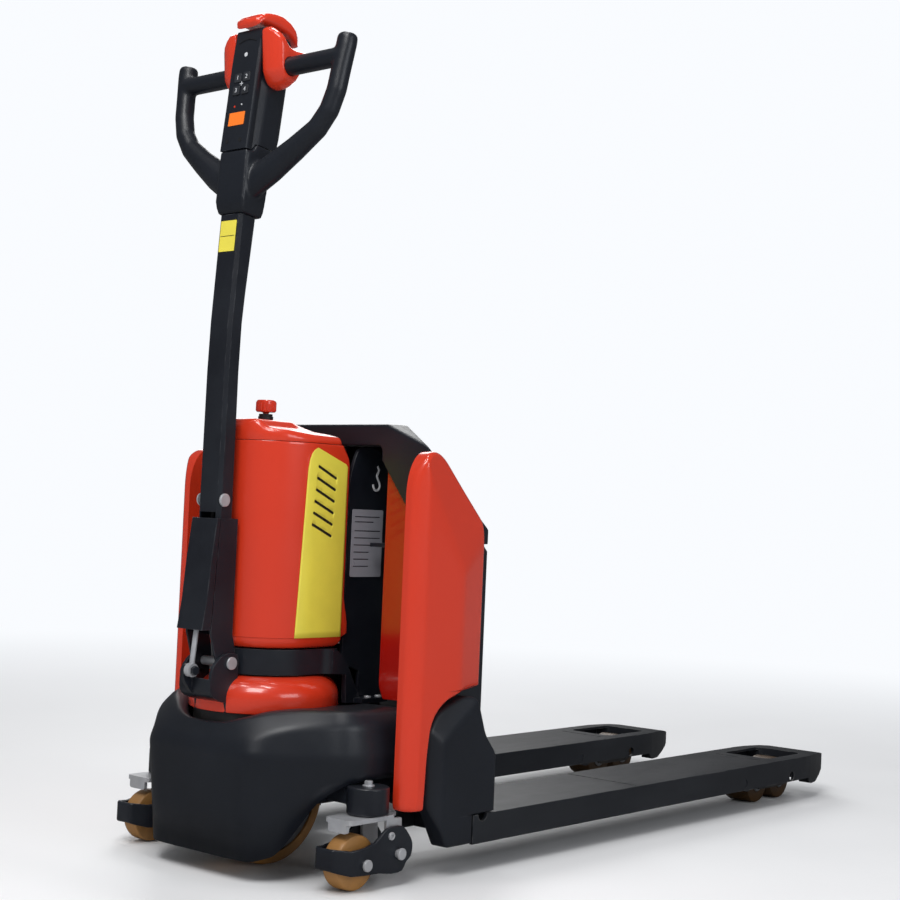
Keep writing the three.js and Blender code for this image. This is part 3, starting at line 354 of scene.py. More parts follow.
def lathe(name, profile, centre, axis, body, material, steps=72):
    """A turned solid. Profile points are (radius, height along the axis) and start and end alike."""
    bm = bmesh.new()
    rings = []
    for step in range(steps):
        turn = 2 * math.pi * step / steps
        rings.append([bm.verts.new((r * math.cos(turn), r * math.sin(turn), h)) for r, h in profile])
    for step in range(steps):
        here, after = rings[step], rings[(step + 1) % steps]
        for i in range(len(profile) - 1):
            bm.faces.new((here[i], after[i], after[i + 1], here[i + 1]))
    bmesh.ops.remove_doubles(bm, verts=bm.verts, dist=1e-6)
    bmesh.ops.transform(bm, matrix=Matrix.Translation(centre) @ AXIS_TURN[axis], verts=bm.verts)
    return ridden(name, mesh_of(name, bm), body, material)


def button_head(radius, height, inset):
    """Half-section of a pin's flat head whose edge slopes in by inset over its last millimetre."""
    return [(0.0001, 0), (radius, 0), (radius, height - 0.001), (radius - inset, height), (0.0001, height),
            (0.0001, 0)]


def sheet(name, outline, depth, matrix, body, material, bevel=0.0):
    """A flat plate with a closed outline in its own XY plane, extruded by depth along its Z."""
    bm = bmesh.new()
    low = [bm.verts.new((x, y, 0)) for x, y in outline]
    high = [bm.verts.new((x, y, depth)) for x, y in outline]
    bm.faces.new(list(reversed(low)))
    bm.faces.new(high)
    count = len(outline)
    for i in range(count):
        j = (i + 1) % count
        bm.faces.new((low[i], low[j], high[j], high[i]))
    bmesh.ops.transform(bm, matrix=matrix, verts=bm.verts)
    piece = ridden(name, mesh_of(name, bm), body, material)
    if bevel:
        round_edges(piece, bevel, 2)
    return piece


def bend(start, corner, end, steps):
    """Points of a curve from start to end that turns at corner."""
    shares = [step / steps for step in range(steps + 1)]
    return [start * (1 - t) ** 2 + corner * 2 * t * (1 - t) + end * t * t for t in shares]


def rounded(points, radius, steps=5):
    """The same outline with each corner replaced by an arc-like curve."""
    result = []
    count = len(points)
    for i, point in enumerate(points):
        corner = Vector(point)
        before = Vector(points[i - 1]) - corner
        after = Vector(points[(i + 1) % count]) - corner
        reach = min(radius, before.length * 0.45, after.length * 0.45)
        start = corner + before.normalized() * reach
        end = corner + after.normalized() * reach
        result += [tuple(p) for p in bend(start, corner, end, steps)]
    return result


def tube(name, points, radius, body, material):
    curve = bpy.data.curves.new(name, "CURVE")
    curve.dimensions = "3D"
    curve.bevel_depth = radius
    curve.bevel_resolution = 5
    curve.resolution_u = 10
    curve.use_fill_caps = True
    spline = curve.splines.new("NURBS")
    spline.points.add(len(points) - 1)
    for target, point in zip(spline.points, points):
        target.co = (*point, 1)
    spline.use_endpoint_u = True
    spline.order_u = 4
    piece = bpy.data.objects.new(name, curve)
    bpy.context.collection.objects.link(piece)
    curve.materials.append(material)
    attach(piece, body)
    return piece


def basis(origin, x_axis, y_axis):
    """Places a flat piece: its X and Y run along the given directions from origin."""
    x, y = Vector(x_axis).normalized(), Vector(y_axis).normalized()
    matrix = Matrix((x, y, x.cross(y))).transposed().to_4x4()
    return Matrix.Translation(origin) @ matrix


def upright(y):
    """A flat piece that stands in the plane of that y, facing the truck's right."""
    return basis((0, y, 0), (1, 0, 0), (0, 0, 1))


def hex_bolt(name, centre, axis, radius, height, body):
    """A hexagon head with a washer under it."""
    bm = bmesh.new()
    bmesh.ops.create_cone(
        bm, cap_ends=True, segments=6, radius1=radius, radius2=radius, depth=height,
        matrix=Matrix.Translation((0, 0, height / 2 + height * 0.25)))
    bmesh.ops.create_cone(
        bm, cap_ends=True, segments=36, radius1=radius * 1.4, radius2=radius * 1.35, depth=height * 0.3,
        matrix=Matrix.Translation((0, 0, height * 0.15)))
    direction = Vector(axis).to_track_quat("Z", "Y").to_matrix().to_4x4()
    bmesh.ops.transform(bm, matrix=Matrix.Translation(centre) @ direction, verts=bm.verts)
    round_edges(ridden(name, mesh_of(name, bm), body, ZINC), radius * 0.08, 2)


def cap_screw(name, centre, axis, radius, body, material=ZINC):
    """A low round head with a round socket."""
    height = radius * 0.5
    profile = ((radius, 0), (radius, height * 0.7), (radius * 0.88, height), (radius * 0.5, height),
               (radius * 0.5, height * 0.3))
    steps = 36
    turns = [2 * math.pi * i / steps for i in range(steps)]
    bm = bmesh.new()
    rings = [[bm.verts.new((r * math.cos(t), r * math.sin(t), h)) for t in turns] for r, h in profile]
    for low, high in zip(rings, rings[1:]):
        for i in range(steps):
            j = (i + 1) % steps
            bm.faces.new((low[i], low[j], high[j], high[i]))
    bm.faces.new(list(reversed(rings[0])))
    bm.faces.new(rings[-1])
    direction = Vector(axis).to_track_quat("Z", "Y").to_matrix().to_4x4()
    bmesh.ops.transform(bm, matrix=Matrix.Translation(centre) @ direction, verts=bm.verts)
    ridden(name, mesh_of(name, bm), body, material)


# ---- CAD pieces that keep their shape ----
def both(*names):
    """The right-hand and left-hand node of each name."""
    return tuple("{}_{}".format(name, side) for name in names for side, _ in SIDES)


def dress_cad_nodes():
    looks = {
        RED: ("steer_dome", "drum_cover", "drum_cap", "stop_button", "belly_button",
              *both("side_panel", "throttle")),
        MOULDING: ("skirt", "arch_cover", "handle_frame", "keypad_panel", "head_rear_cover",
                   *both("heel_cover")),
        FORK_PAINT: both("fork"),
        PAINT: ("carriage", "chassis_frame", "drive_collar", "lift_cylinder", "tiller_bracket", "tiller_fork",
                "spring_cover", "tiller_tube", "gas_cylinder",
                *both("load_arm", "caster_mount", "caster_arm")),
        ZINC: ("lift_ram", "tiller_pin", "gas_rod", *both("caster_bracket")),
        ALLOY: ("hydraulic_unit", "gear_motor", "drive_hub"),
        IRON: ("rocker_shaft", "drive_yoke", *both("bogie", "push_rod")),
        URETHANE: ("drive_tyre", *both("caster_wheel"), "load_wheel_right_rear", "load_wheel_right_front",
                   "load_wheel_left_rear", "load_wheel_left_front"),
        KEYS: tuple("key_{}".format(number) for number in range(1, 5)),
        CASE: ("battery",),
    }
    for material, names in looks.items():
        for name in names:
            slots = NODES[name].data.materials
            slots.clear()
            slots.append(material)


def round_cad_nodes():
    widths = {
        0.0030: ("tiller_bracket",),
        0.0015: ("chassis_frame", "carriage", "battery", "drive_collar"),
        0.0010: ("spring_cover", "tiller_fork", "tiller_tube", "hydraulic_unit", "gear_motor", "drive_yoke",
                 "rocker_shaft", "tiller_pin", "gas_rod", "gas_cylinder",
                 *both("load_arm", "bogie", "caster_bracket")),
        0.0016: ("keypad_panel", "head_rear_cover"),
        0.0006: ("key_1", "key_2", "key_3", "key_4", *both("push_rod")),
    }
    for width, names in widths.items():
        for name in names:
            round_edges(NODES[name], width)


def mould_cad_nodes():
    skins = ((("arch_cover",), 0.0022, 6), (("handle_frame",), 0.0018, 22),
             (both("caster_arm"), 0.0012, 5), (both("caster_mount"), 0.0014, 8))
    for names, voxel, rounds in skins:
        for name in names:
            soften(NODES[name], voxel, rounds)


# ---- helpers for skins built from listed points (millimetres in, metres out) ----
def grid(name, rows, body, material, closed=False, caps=(False, False), angle=32):
    """A skin through rows of points. closed joins the last column to the first."""
    bm = bmesh.new()
    lines = [[bm.verts.new(Vector(p) * MM) for p in row] for row in rows]
    width = len(rows[0])
    for low, high in zip(lines, lines[1:]):
        for i in range(width if closed else width - 1):
            j = (i + 1) % width
            bm.faces.new((low[i], low[j], high[j], high[i]))
    for line, wanted in ((lines[0], caps[0]), (lines[-1], caps[1])):
        if wanted:
            bm.faces.new(line)
    bmesh.ops.remove_doubles(bm, verts=bm.verts, dist=2e-6)
    return ridden(name, mesh_of(name, bm, angle), body, material)


def thicken(piece, thickness):
    """Gives a skin a wall on its inner side."""
    wall = piece.modifiers.new("wall", "SOLIDIFY")
    wall.thickness = thickness
    wall.offset = -1
    wall.use_even_offset = False


def lerp(table, t):
    """Piecewise-linear value of a table of (position, value) pairs, flat beyond its ends."""
    if t <= table[0][0]:
        return table[0][1]
    for (a, low), (b, high) in zip(table, table[1:]):
        if t <= b:
            return low + (high - low) * (t - a) / (b - a)
    return table[-1][1]


def eased(table, t, reach):
    """The table's value averaged over a window, which rounds its corners."""
    shifts = (-1, -0.66, -0.33, 0, 0.33, 0.66, 1)
    return sum(lerp(table, t + reach * shift) for shift in shifts) / len(shifts)


def soft_max(values, width):
    top = max(values)
    return top + width * math.log(sum(math.exp((v - top) / width) for v in values))


def spline(points, samples):
    """Catmull-Rom curve through points, with the given samples per span."""
    result = []
    for i in range(len(points) - 1):
        p0, p1 = Vector(points[max(i - 1, 0)]), Vector(points[i])
        p2, p3 = Vector(points[i + 1]), Vector(points[min(i + 2, len(points) - 1)])
        for step in range(samples):
            t = step / samples
            result.append(0.5 * (2 * p1 + (p2 - p0) * t + (2 * p0 - 5 * p1 + 4 * p2 - p3) * t * t
                                 + (3 * p1 - p0 - 3 * p2 + p3) * t ** 3))
    result.append(Vector(points[-1]))
    return result


def as_mesh(source):
    """Turns a curve or text object into a plain mesh and removes the source."""
    mesh = bpy.data.meshes.new_from_object(source.evaluated_get(bpy.context.evaluated_depsgraph_get()))
    bpy.data.objects.remove(source)
    return mesh


# ---- drum ----
DRUM_RADIUS, DRUM_FOOT, DRUM_SEAM = 92, 330, 639.6


def drum_plan(radius, rear, corner, z, steps=64):
    arc = []
    for i in range(steps + 1):
        turn = math.pi / 2 + math.pi * i / steps
        arc.append((radius * math.cos(turn), radius * math.sin(turn), z))
    bends = []
    for i in range(7):
        turn = math.pi / 2 * i / 6
        bends.append((rear - corner * (1 - math.sin(turn)), corner * (1 - math.cos(turn)) - radius, z))
    return arc + bends + [(x, -y, z) for x, y, _ in reversed(bends)]


def build_drum():
    rear = [(345, 85), (372, 84), (404, 75), (618, 75), (640, 58)]
    rows = []
    for i in range(11):
        turn = math.pi / 2 * i / 10
        inset = 15 * (1 - math.sin(turn))
        z = DRUM_FOOT + 15 * (1 - math.cos(turn))
        rows.append(drum_plan(DRUM_RADIUS - 1.2 - inset, 74 - inset, 8, z))
    rows.append(drum_plan(DRUM_RADIUS - 1.2, 74, 8, 346.4))
    rows.append(drum_plan(DRUM_RADIUS, 75, 8, 347))
    for z in (352, 366, 380, 392, 404, 430, 500, 570, 612, 620, 628, 636, 638.6):
        rows.append(drum_plan(DRUM_RADIUS, eased(rear, z, 7), 7, z))
    rows.append(drum_plan(DRUM_RADIUS - 0.4, 58, 7, DRUM_SEAM))
    shell = grid("drum_shell", rows, "chassis", RED, closed=True, caps=(True, True), angle=50)
    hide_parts("drum_cover")


def build_drum_cap():
    side = [(0, 673), (40, 673), (53, 660), (76, 657), (92, 650)]
    length = [(-92, 664), (-84, 673), (-8, 673), (30, 657), (58, 650)]
    edge = drum_plan(DRUM_RADIUS, 58, 12, 0)
    centre = Vector((-12, 0, 0))
    rings = []
    steps = 40
    for ring in range(1, steps + 1):
        share = ring / steps
        row = []
        for point in edge:
            outer = Vector(point) - centre
            place = centre + outer * share
            height = -soft_max((-eased(side, abs(place.y), 4), -eased(length, place.x, 5)), 1.2)
            gap = (1 - share) * outer.length
            if gap < 6:
                height -= 6 - math.sqrt(max(36 - (6 - gap) ** 2, 0))
            row.append((place.x, place.y, height))
        rings.append(row)
    rings.append([(x, y, 641.2) for x, y, _ in rings[-1]])
    rings.append([(x * 0.996, y * 0.996, 640.4) for x, y, _ in rings[-1]])
    cap = grid("drum_lid", rings, "chassis", RED, closed=True, caps=(True, True), angle=60)
    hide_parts("drum_cap")


def flank_y(x):
    """Half-breadth of the drum at x."""
    return math.sqrt(DRUM_RADIUS ** 2 - x * x) if x < 0 else DRUM_RADIUS


def carve(piece, cutters):
    """Cuts closed shapes out of a piece for good."""
    for i, cutter in enumerate(cutters):
        tool = piece.modifiers.new("cut_{}".format(i), "BOOLEAN")
        tool.operation = "DIFFERENCE"
        tool.solver = "EXACT"
        tool.object = cutter
    bpy.context.view_layer.update()
    mesh = bpy.data.meshes.new_from_object(piece.evaluated_get(bpy.context.evaluated_depsgraph_get()))
    piece.modifiers.clear()
    piece.data = mesh
    for cutter in cutters:
        bpy.data.objects.remove(cutter)


def capsule(a, b, radius, steps=10):
    """Outline of a slot from a to b with round ends."""
    a, b = Vector(a), Vector(b)
    base = math.atan2(b.y - a.y, b.x - a.x)
    points = []
    for centre, start in ((b, base - math.pi / 2), (a, base + math.pi / 2)):
        for i in range(steps + 1):
            turn = start + math.pi * i / steps
            points.append((centre.x + radius * math.cos(turn), centre.y + radius * math.sin(turn)))
    return points


def build_vent_panel(side, sign):
    left = [(347, -28), (600, -17), (615, -14.5), (624, -11), (630, -6), (633, 0)]
    right = [(347, 66), (607, 66), (611, 62), (633, 1)]
    rows = []
    heights = [347 + 10 * i for i in range(26)] + [603 + 2 * i for i in range(15)] + [632.4, 633]
    for z in heights:
        x0, x1 = lerp(left, z), lerp(right, z)
        row = []
        for i in range(33):
            x = x0 + (x1 - x0) * i / 32
            row.append((x, sign * (flank_y(x) + 1.3), z))
        rows.append(row)
    panel = grid("vent_panel_" + side, rows, "chassis", YELLOW)
    wall = panel.modifiers.new("wall", "SOLIDIFY")
    wall.thickness = 0.0011
    wall.offset = -1 if sign < 0 else 1
    inner = -DRUM_RADIUS - 0.2 if sign < 0 else DRUM_RADIUS + 0.7
    cutters = []
    for i in range(6):
        ends = (4 - 1.7 * i, 605 - 17.6 * i), (41 - 1.2 * i, 588.5 - 17.6 * i)
        # Each slot is backed by a near-black patch inside the panel: painted shade for the dark behind the
        # vent.
        shape, shade_patch = ([(x * MM, z * MM) for x, z in capsule(*ends, radius)] for radius in (2.2, 3.4))
        cutters.append(sheet("slot", shape, 0.04, upright(sign * 0.075 + 0.02), "chassis", INK_AND_PAINTED_SHADE))
        sheet("vent_slot_shade_{}_{}".format(side, i + 1), shade_patch, 0.0004, upright(inner * MM), "chassis", INK_AND_PAINTED_SHADE)
    carve(panel, cutters)


def build_stop_knob():
    low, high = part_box("stop_button")
    x, y = (low[0] + high[0]) / 2, (low[1] + high[1]) / 2
    top = high[2]
    profile = [(0.0001, 0), (0.0132, 0), (0.0146, -0.0012), (0.0150, -0.0030), (0.0150, -0.0165),
               (0.0142, -0.0182), (0.0060, -0.0182), (0.0045, -0.020), (0.0045, -0.034), (0.0001, -0.034),
               (0.0001, 0)]
    knob = lathe("stop_knob", profile, (x, y, top), "z", "stop_button", RED, 60)
    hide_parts("stop_button")
    for i in range(20):
        turn = 2 * math.pi * i / 20
        place = Vector((x + 0.01495 * math.cos(turn), y + 0.01495 * math.sin(turn), 0))
        rib = [place + Vector((0, 0, top - drop)) for drop in (0.0165, 0.010, 0.0030)]
        tube("knob_rib_{}".format(i + 1), rib, 0.0009, "stop_button", RED)
    neck = [(0.0052, 0), (0.0115, 0), (0.0115, 0.0065), (0.0104, 0.0075), (0.0104, 0.0105), (0.0052, 0.0105),
            (0.0052, 0)]
    lathe("knob_neck", neck, (x, y, 0.6722), "z", "chassis", INK_AND_PAINTED_SHADE, 48)


# ---- dome ----
def build_dome():
    profile = [(76.2, 289), (76.2, 284), (108, 262), (109, 236), (113, 236), (114, 238), (114, 256)]
    for i in range(13):
        turn = math.pi / 2 * i / 12
        profile.append((114 - 31 * (1 - math.cos(turn)) ** 0.9, 258 + 30.5 * math.sin(turn)))
    profile += [(80, 289), (76.2, 289)]
    dome = lathe("dome_shell", [(r * MM, z * MM) for r, z in profile], (0, 0, 0), "z", "drive_unit", RED, 120)
    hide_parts("steer_dome")


# ---- skirt ----
SKIRT_FOOT = [(-118, 0), (-118, -60), (-114, -98), (-96, -122), (-66, -148), (-28, -178), (10, -204),
              (100, -214)]
SKIRT_CREASE = [(-134, 0), (-133, -58), (-127, -104), (-104, -130), (-72, -160), (-32, -190), (10, -210),
                (100, -215)]
SKIRT_UPPER = [(-131, 0, 196), (-130, -54, 198), (-122, -95, 204), (-99, -125, 216), (-68, -154, 224),
               (-29, -184, 226), (10, -203, 226), (100, -208, 226)]
SKIRT_TOP = [(-120, 0, 219), (-118, -40, 221), (-107, -74, 230), (-86, -106, 240), (-56, -140, 244),
             (-22, -170, 244), (10, -190, 244), (100, -192, 244)]
ARCH_EDGE = [(104, 31), (112, 33), (129, 40), (139, 58), (149, 82), (163, 116), (176, 133), (191, 144),
             (205, 150), (220, 151)]


def bent(points, radius, steps=5):
    """A polyline whose inner corners are replaced by curves; its ends stay."""
    result = [points[0]]
    for before, corner, after in zip(points, points[1:], points[2:]):
        back, on = before - corner, after - corner
        reach = min(radius, back.length * 0.45, on.length * 0.45)
        result += bend(corner + back.normalized() * reach, corner, corner + on.normalized() * reach, steps)
    return result + [points[-1]]


def build_skirt():
    samples = 12
    foot = spline([(x, y, 31) for x, y in SKIRT_FOOT], samples)
    crease = spline([(x, y, 183) for x, y in SKIRT_CREASE], samples)
    upper = spline(SKIRT_UPPER, samples)
    top = spline(SKIRT_TOP, samples)
    columns = []
    for low, fold, brow, lip in zip(foot, crease, upper, top):
        start = eased(ARCH_EDGE, -low.y, 4)
        share = (start - 31) / (183 - 31)
        first = low.lerp(fold, share)
        if lip.x < 62:
            reach = math.hypot(lip.x, lip.y)
            inner = Vector((lip.x * 117 / reach, lip.y * 117 / reach, lip.z - 2))
        else:
            inner = Vector((lip.x, -118, lip.z - 2))
        down = inner - Vector((0, 0, 9))
        middle = first.lerp(fold, 0.5)
        columns.append(bent([first, middle, fold, brow, lip, inner, down], 7))
    mirrored = [[Vector((p.x, -p.y, p.z)) for p in column] for column in reversed(columns[1:])]
    skin = grid("skirt_skin", mirrored + columns, "chassis", MOULDING, angle=75)
    thicken(skin, -0.004)
    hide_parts("skirt")


# ---- panels with sculpted faces ----
def edge_distance(x, z, outline):
    best = 1e9
    for (ax, az), (bx, bz) in zip(outline, outline[1:] + outline[:1]):
        dx, dz = bx - ax, bz - az
        t = max(0.0, min(1.0, ((x - ax) * dx + (z - az) * dz) / (dx * dx + dz * dz + 1e-9)))
        best = min(best, math.hypot(x - ax - t * dx, z - az - t * dz))
    return best


def span_at(z, outline):
    hits = []
    for (ax, az), (bx, bz) in zip(outline, outline[1:] + outline[:1]):
        if (az - z) * (bz - z) <= 0 and az != bz:
            hits.append(ax + (bx - ax) * (z - az) / (bz - az))
    return min(hits), max(hits)


def sculpted(name, outline, heights, plane, thickness, relief, radius, sign, body, material, columns=30):
    """A panel on the truck's flank. relief(x, z) is how far its face lies inside the outer plane."""
    rows = []
    for z in heights:
        x0, x1 = span_at(z, outline)
        face = []
        for i in range(columns + 1):
            share = 0.5 - 0.5 * math.cos(math.pi * i / columns)
            x = x0 + (x1 - x0) * share
            gap = edge_distance(x, z, outline)
            depth = relief(x, z)
            if gap < radius:
                depth += radius - math.sqrt(max(radius ** 2 - (radius - gap) ** 2, 0))
            face.append((x, sign * (plane - depth), z))
        back = sign * (plane - thickness)
        rows.append([(x0, back, z)] + face + [(x1, back, z)])
    flat = [[(x, sign * (plane - thickness), z) for x, _, z in rows[0]]]
    roof = [[(x, sign * (plane - thickness), z) for x, _, z in rows[-1]]]
    return grid(name, flat + rows + roof, body, material, closed=True, angle=60)


def levels(outline, step, fine=()):
    """Heights at which a panel gets a row: close together at its ends and in the fine bands."""
    low, high = min(z for _, z in outline), max(z for _, z in outline)
    values = {low + 0.05, high - 0.05, low + 0.6, high - 0.6, low + 1.6, high - 1.6, low + 3, high - 3}
    count = int((high - low) / step)
    values.update(low + (high - low) * i / count for i in range(1, count))
    for a, b, own in fine:
        values.update(a + own * i for i in range(int((b - a) / own) + 1))
    return sorted(value for value in values if low < value < high)


PANEL_EDGE = [((38, 107), 10), ((76, 106), 6), ((80, 190), 20), ((86, 236), 26), ((112, 262), 20),
              ((164, 279), 14), ((218, 279), 4), ((218, 530), 14), ((151, 587), 20), ((99, 633), 26),
              ((60, 633), 30), ((38, 594), 30)]
HEEL_EDGE = [((128, 46), 6), ((187, 46), 2), ((187, 89.5), 2), ((239, 89.5), 2), ((239, 178), 8),
             ((212, 208), 10), ((190, 266), 10), ((164, 268), 14), ((112, 246), 16), ((90, 216), 10),
             ((92, 110), 10)]


def round_outline(corners, steps=6):
    result = []
    for i, (point, radius) in enumerate(corners):
        corner = Vector(point)
        before = Vector(corners[i - 1][0]) - corner
        after = Vector(corners[(i + 1) % len(corners)][0]) - corner
        start = corner + before.normalized() * min(radius, before.length * 0.48)
        end = corner + after.normalized() * min(radius, after.length * 0.48)
        result += [tuple(p) for p in bend(start, corner, end, steps)]
    return result


def wing_relief(x, z):
    across = ((x - 55) * 131 + (z - 600) * 82) / 154.5
    return soft_max((0, 0.70 * (58 - x), 0.30 * (x - 146), 0.24 * across), 0.6)


def heel_relief(x, z):
    return soft_max((0, 0.62 * (114 - x), 0.42 * (0.62 * (146 - x) + 0.8 * (z - 226)), 0.4 * (z - 262)), 0.7)


def build_side_panels():
    for side, sign in SIDES:
        outline = round_outline(PANEL_EDGE)
        heights = levels(outline, 5, ((254, 282, 1.4), (520, 628, 3.5)))
        wing = sculpted("wing_" + side, outline, heights, 270, 29.5, wing_relief, 7, sign, "fork_frame", RED,
                        34)
        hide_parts("side_panel_" + side)
        inner = round_outline([((sign * 243, 258), 2), ((sign * 152, 256), 4), ((sign * 143, 276), 6),
                               ((sign * 143, 613), 5), ((sign * 200, 543), 8), ((sign * 243, 488), 2)])
        # The recessed face takes the darker red, which is painted shade.
        face = sheet("panel_face_" + side, [(y * MM, z * MM) for y, z in inner], 0.006,
                     basis((0.103, 0, 0), (0, 1, 0), (0, 0, 1)), "fork_frame", RED_PAINTED_SHADE, 0.0022)
        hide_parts("side_panel_" + side)
        for i, z in enumerate((520, 375)):
            place = (0.1028, sign * 0.226, z * MM)
            cap_screw("panel_screw_{}_{}".format(side, i + 1), place, (-1, 0, 0), 0.0036, "fork_frame", INK_AND_PAINTED_SHADE)
        outline = round_outline(HEEL_EDGE)
        heights = levels(outline, 4, ((88, 92, 0.5),))
        cover = sculpted("heel_shell_" + side, outline, heights, 271, 29.5, heel_relief, 4, sign,
                         "fork_frame", MOULDING, 26)
        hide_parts("heel_cover_" + side)


# ---- collar, mast and frame details ----
def build_collar_details():
    for side, sign in SIDES:
        for i, x in enumerate((122, 146)):
            place = (x * MM, sign * 0.103, 0.2521)
            cap_screw("collar_screw_{}_{}".format(side, i + 1), place, (0, 0, 1), 0.0055, "chassis")
        pin = [(0.070, sign * 0.086, z) for z in (0.349, 0.342, 0.336)]
        tube("drain_pin_" + side, pin, 0.0015, "chassis", ZINC)
    y = -0.0854
    plate = [(x * MM, z * MM) for x, z in rounded([(88, 438), (158, 438), (158, 543), (88, 543)], 3)]
    sheet("name_plate", plate, 0.0007, upright(y), "chassis", SILVER)
    rules = ((150, 531), (136, 523), (152, 509), (152, 498), (152, 487), (128, 476), (128, 465), (128, 454))
    for i, (end, z) in enumerate(rules):
        line = [(0.094, z * MM), (end * MM, z * MM), (end * MM, (z + 1.3) * MM), (0.094, (z + 1.3) * MM)]
        sheet("plate_line_{}".format(i + 1), line, 0.0002, upright(y - 0.0007), "chassis", INK_AND_PAINTED_SHADE)
    hook = ((141, 612), (146, 606), (142, 600), (139, 596), (146, 588), (149, 579), (143, 572), (134, 574),
            (132, 583))
    tube("hook_mark", [(x * MM, y, z * MM) for x, z in hook], 0.0019, "chassis", PALE)


# ---- tiller ----
HEAD_X, HEAD_Z, HEAD_TILT = -0.100, 0.970, math.radians(7.5)


def head_place(u, y, w):
    """A point of the tiller head from its own upright frame in millimetres."""
    u, y, w = u * MM, y * MM, w * MM
    return Vector((HEAD_X + u * math.cos(HEAD_TILT) + w * math.sin(HEAD_TILT), y,
                   HEAD_Z - u * math.sin(HEAD_TILT) + w * math.cos(HEAD_TILT)))


def head_plane(u, y, w):
    """Placement of a flat mark that faces the user: X to the truck's right, Y up the head."""
    return basis(head_place(u, y, w), (0, -1, 0), (math.sin(HEAD_TILT), 0, math.cos(HEAD_TILT)))


def rectangle(width, height, radius=1.5):
    half, rise = width / 2, height / 2
    corners = ((-half, -rise), (half, -rise), (half, rise), (-half, rise))
    return [(x * MM, y * MM) for x, y in rounded(corners, radius)]


def disc(radius, steps=28):
    turns = [2 * math.pi * i / steps for i in range(steps)]
    return [(radius * MM * math.cos(turn), radius * MM * math.sin(turn)) for turn in turns]


THROTTLE_EDGE = [((-24, -14), 8), ((-10, -31), 8), ((12, -31), 8), ((26, -16), 8), ((32, 8), 12),
                 ((67, 26), 4), ((64, 45), 5), ((34, 40), 6), ((8, 36), 10), ((-14, 42), 8), ((-30, 57), 4),
                 ((-38, 50), 4), ((-31, 18), 10)]


def build_throttles():
    """A wing to the front and one to the rear around a sleeve on the crossbar."""
    edge = [Vector(p) for p in round_outline(THROTTLE_EDGE)]
    for side, sign in SIDES:
        rows = []
        for y, reach in ((65, 0.62), (64, 0.68), (60, 0.78), (52, 0.90), (43, 0.99), (33, 1.0), (30.8, 0.99),
                         (30, 0.96)):
            rows.append([head_place(3 + p.x * reach, sign * y, 235 + p.y * reach) / MM for p in edge])
        for y in (30, 65):
            rows.append([head_place(3 + 14.9 * p.x / p.length, sign * y, 235 + 14.9 * p.y / p.length) / MM
                         for p in edge])
        wing = grid("throttle_wing_" + side, rows + rows[:1], "throttle", RED, closed=True, angle=60)
        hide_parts("throttle_" + side)


def build_belly_pad():
    """The stop pad on the tiller's end: rings from the user's side to the rear."""
    top = [(-41, 303), (-37, 310), (-22, 318.5), (-6, 323), (8, 324.5), (24, 321), (38, 314), (48, 304),
           (54, 295)]
    bottom = [(-41, 297), (-38, 290.5), (-35, 290), (-33, 298), (4, 300), (28, 298), (46, 291.5), (54, 292.5)]
    breadth = [(-41, 20), (-38, 25), (-30, 28.4), (-10, 29.6), (20, 29.6), (36, 27.5), (46, 23), (54, 15)]
    rows = []
    for i in range(39):
        u = -41 + 95 * (0.5 - 0.5 * math.cos(math.pi * i / 38))
        high, low, half = (eased(table, u, 2.5) for table in (top, bottom, breadth))
        row = []
        for k in range(40):
            turn = 2 * math.pi * k / 40
            across, rise = (math.copysign(abs(part) ** 0.55, part)
                            for part in (math.cos(turn), math.sin(turn)))
            row.append(head_place(u, half * across, (high + low) / 2 + (high - low) / 2 * rise) / MM)
        rows.append(row)
    pad = grid("belly_pad", rows, "belly_button", RED, closed=True, caps=(True, True), angle=60)
    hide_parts("belly_button")


def build_head_marks():
    marks = (
        ("orange_label", rectangle(34, 20.5), 0.0004, (-31.25, 1, 149), ORANGE),
        # The two hole discs are near-black: painted shade in the holes of the head panel.
        ("panel_hole_1", disc(3.2), 0.0003, (-30.75, 16, 115), INK_AND_PAINTED_SHADE),
        ("panel_hole_2", disc(3.2), 0.0003, (-30.75, -13, 115), INK_AND_PAINTED_SHADE),
        ("power_light", disc(1.6), 0.0005, (-31.5, 9, 169), RED),
        ("state_light", disc(1.3), 0.0004, (-31.5, -6, 171), PALE),
        ("slow_mark", disc(3.4), 0.0003, (-33.3, -1, 250), PALE),
        ("key_cross_1", rectangle(7, 1.2, 0.4), 0.0003, (-32.9, 0, 204), PALE),
        ("key_cross_2", rectangle(1.2, 7, 0.4), 0.0003, (-32.9, 0, 204), PALE),
    )
    for name, outline, depth, place, material in marks:
        sheet(name, outline, depth, head_plane(*place), "tiller", material)
    arc = [head_place(-33.0, 19 - 4.75 * i, 270 + 5 * math.sin(math.pi * i / 8)) for i in range(9)]
    tube("brow_line", arc, 0.0005, "tiller", INK_AND_PAINTED_SHADE)
    for i, (y, w) in enumerate(((9.5, 214), (-9.5, 214), (9.5, 194), (-9.5, 194))):
        letter = bpy.data.curves.new("digit", "FONT")
        letter.body = str(i + 1)
        letter.size = 0.0095
        letter.align_x, letter.align_y = "CENTER", "CENTER"
        letter.extrude = 0.0002
        source = bpy.data.objects.new("digit", letter)
        bpy.context.collection.objects.link(source)
        bpy.context.view_layer.update()
        mesh = as_mesh(source)
        mesh.materials.clear()
        mesh.transform(head_plane(-33.9, y, w))
        ridden("digit_{}".format(i + 1), mesh, "key_{}".format(i + 1), PALE)


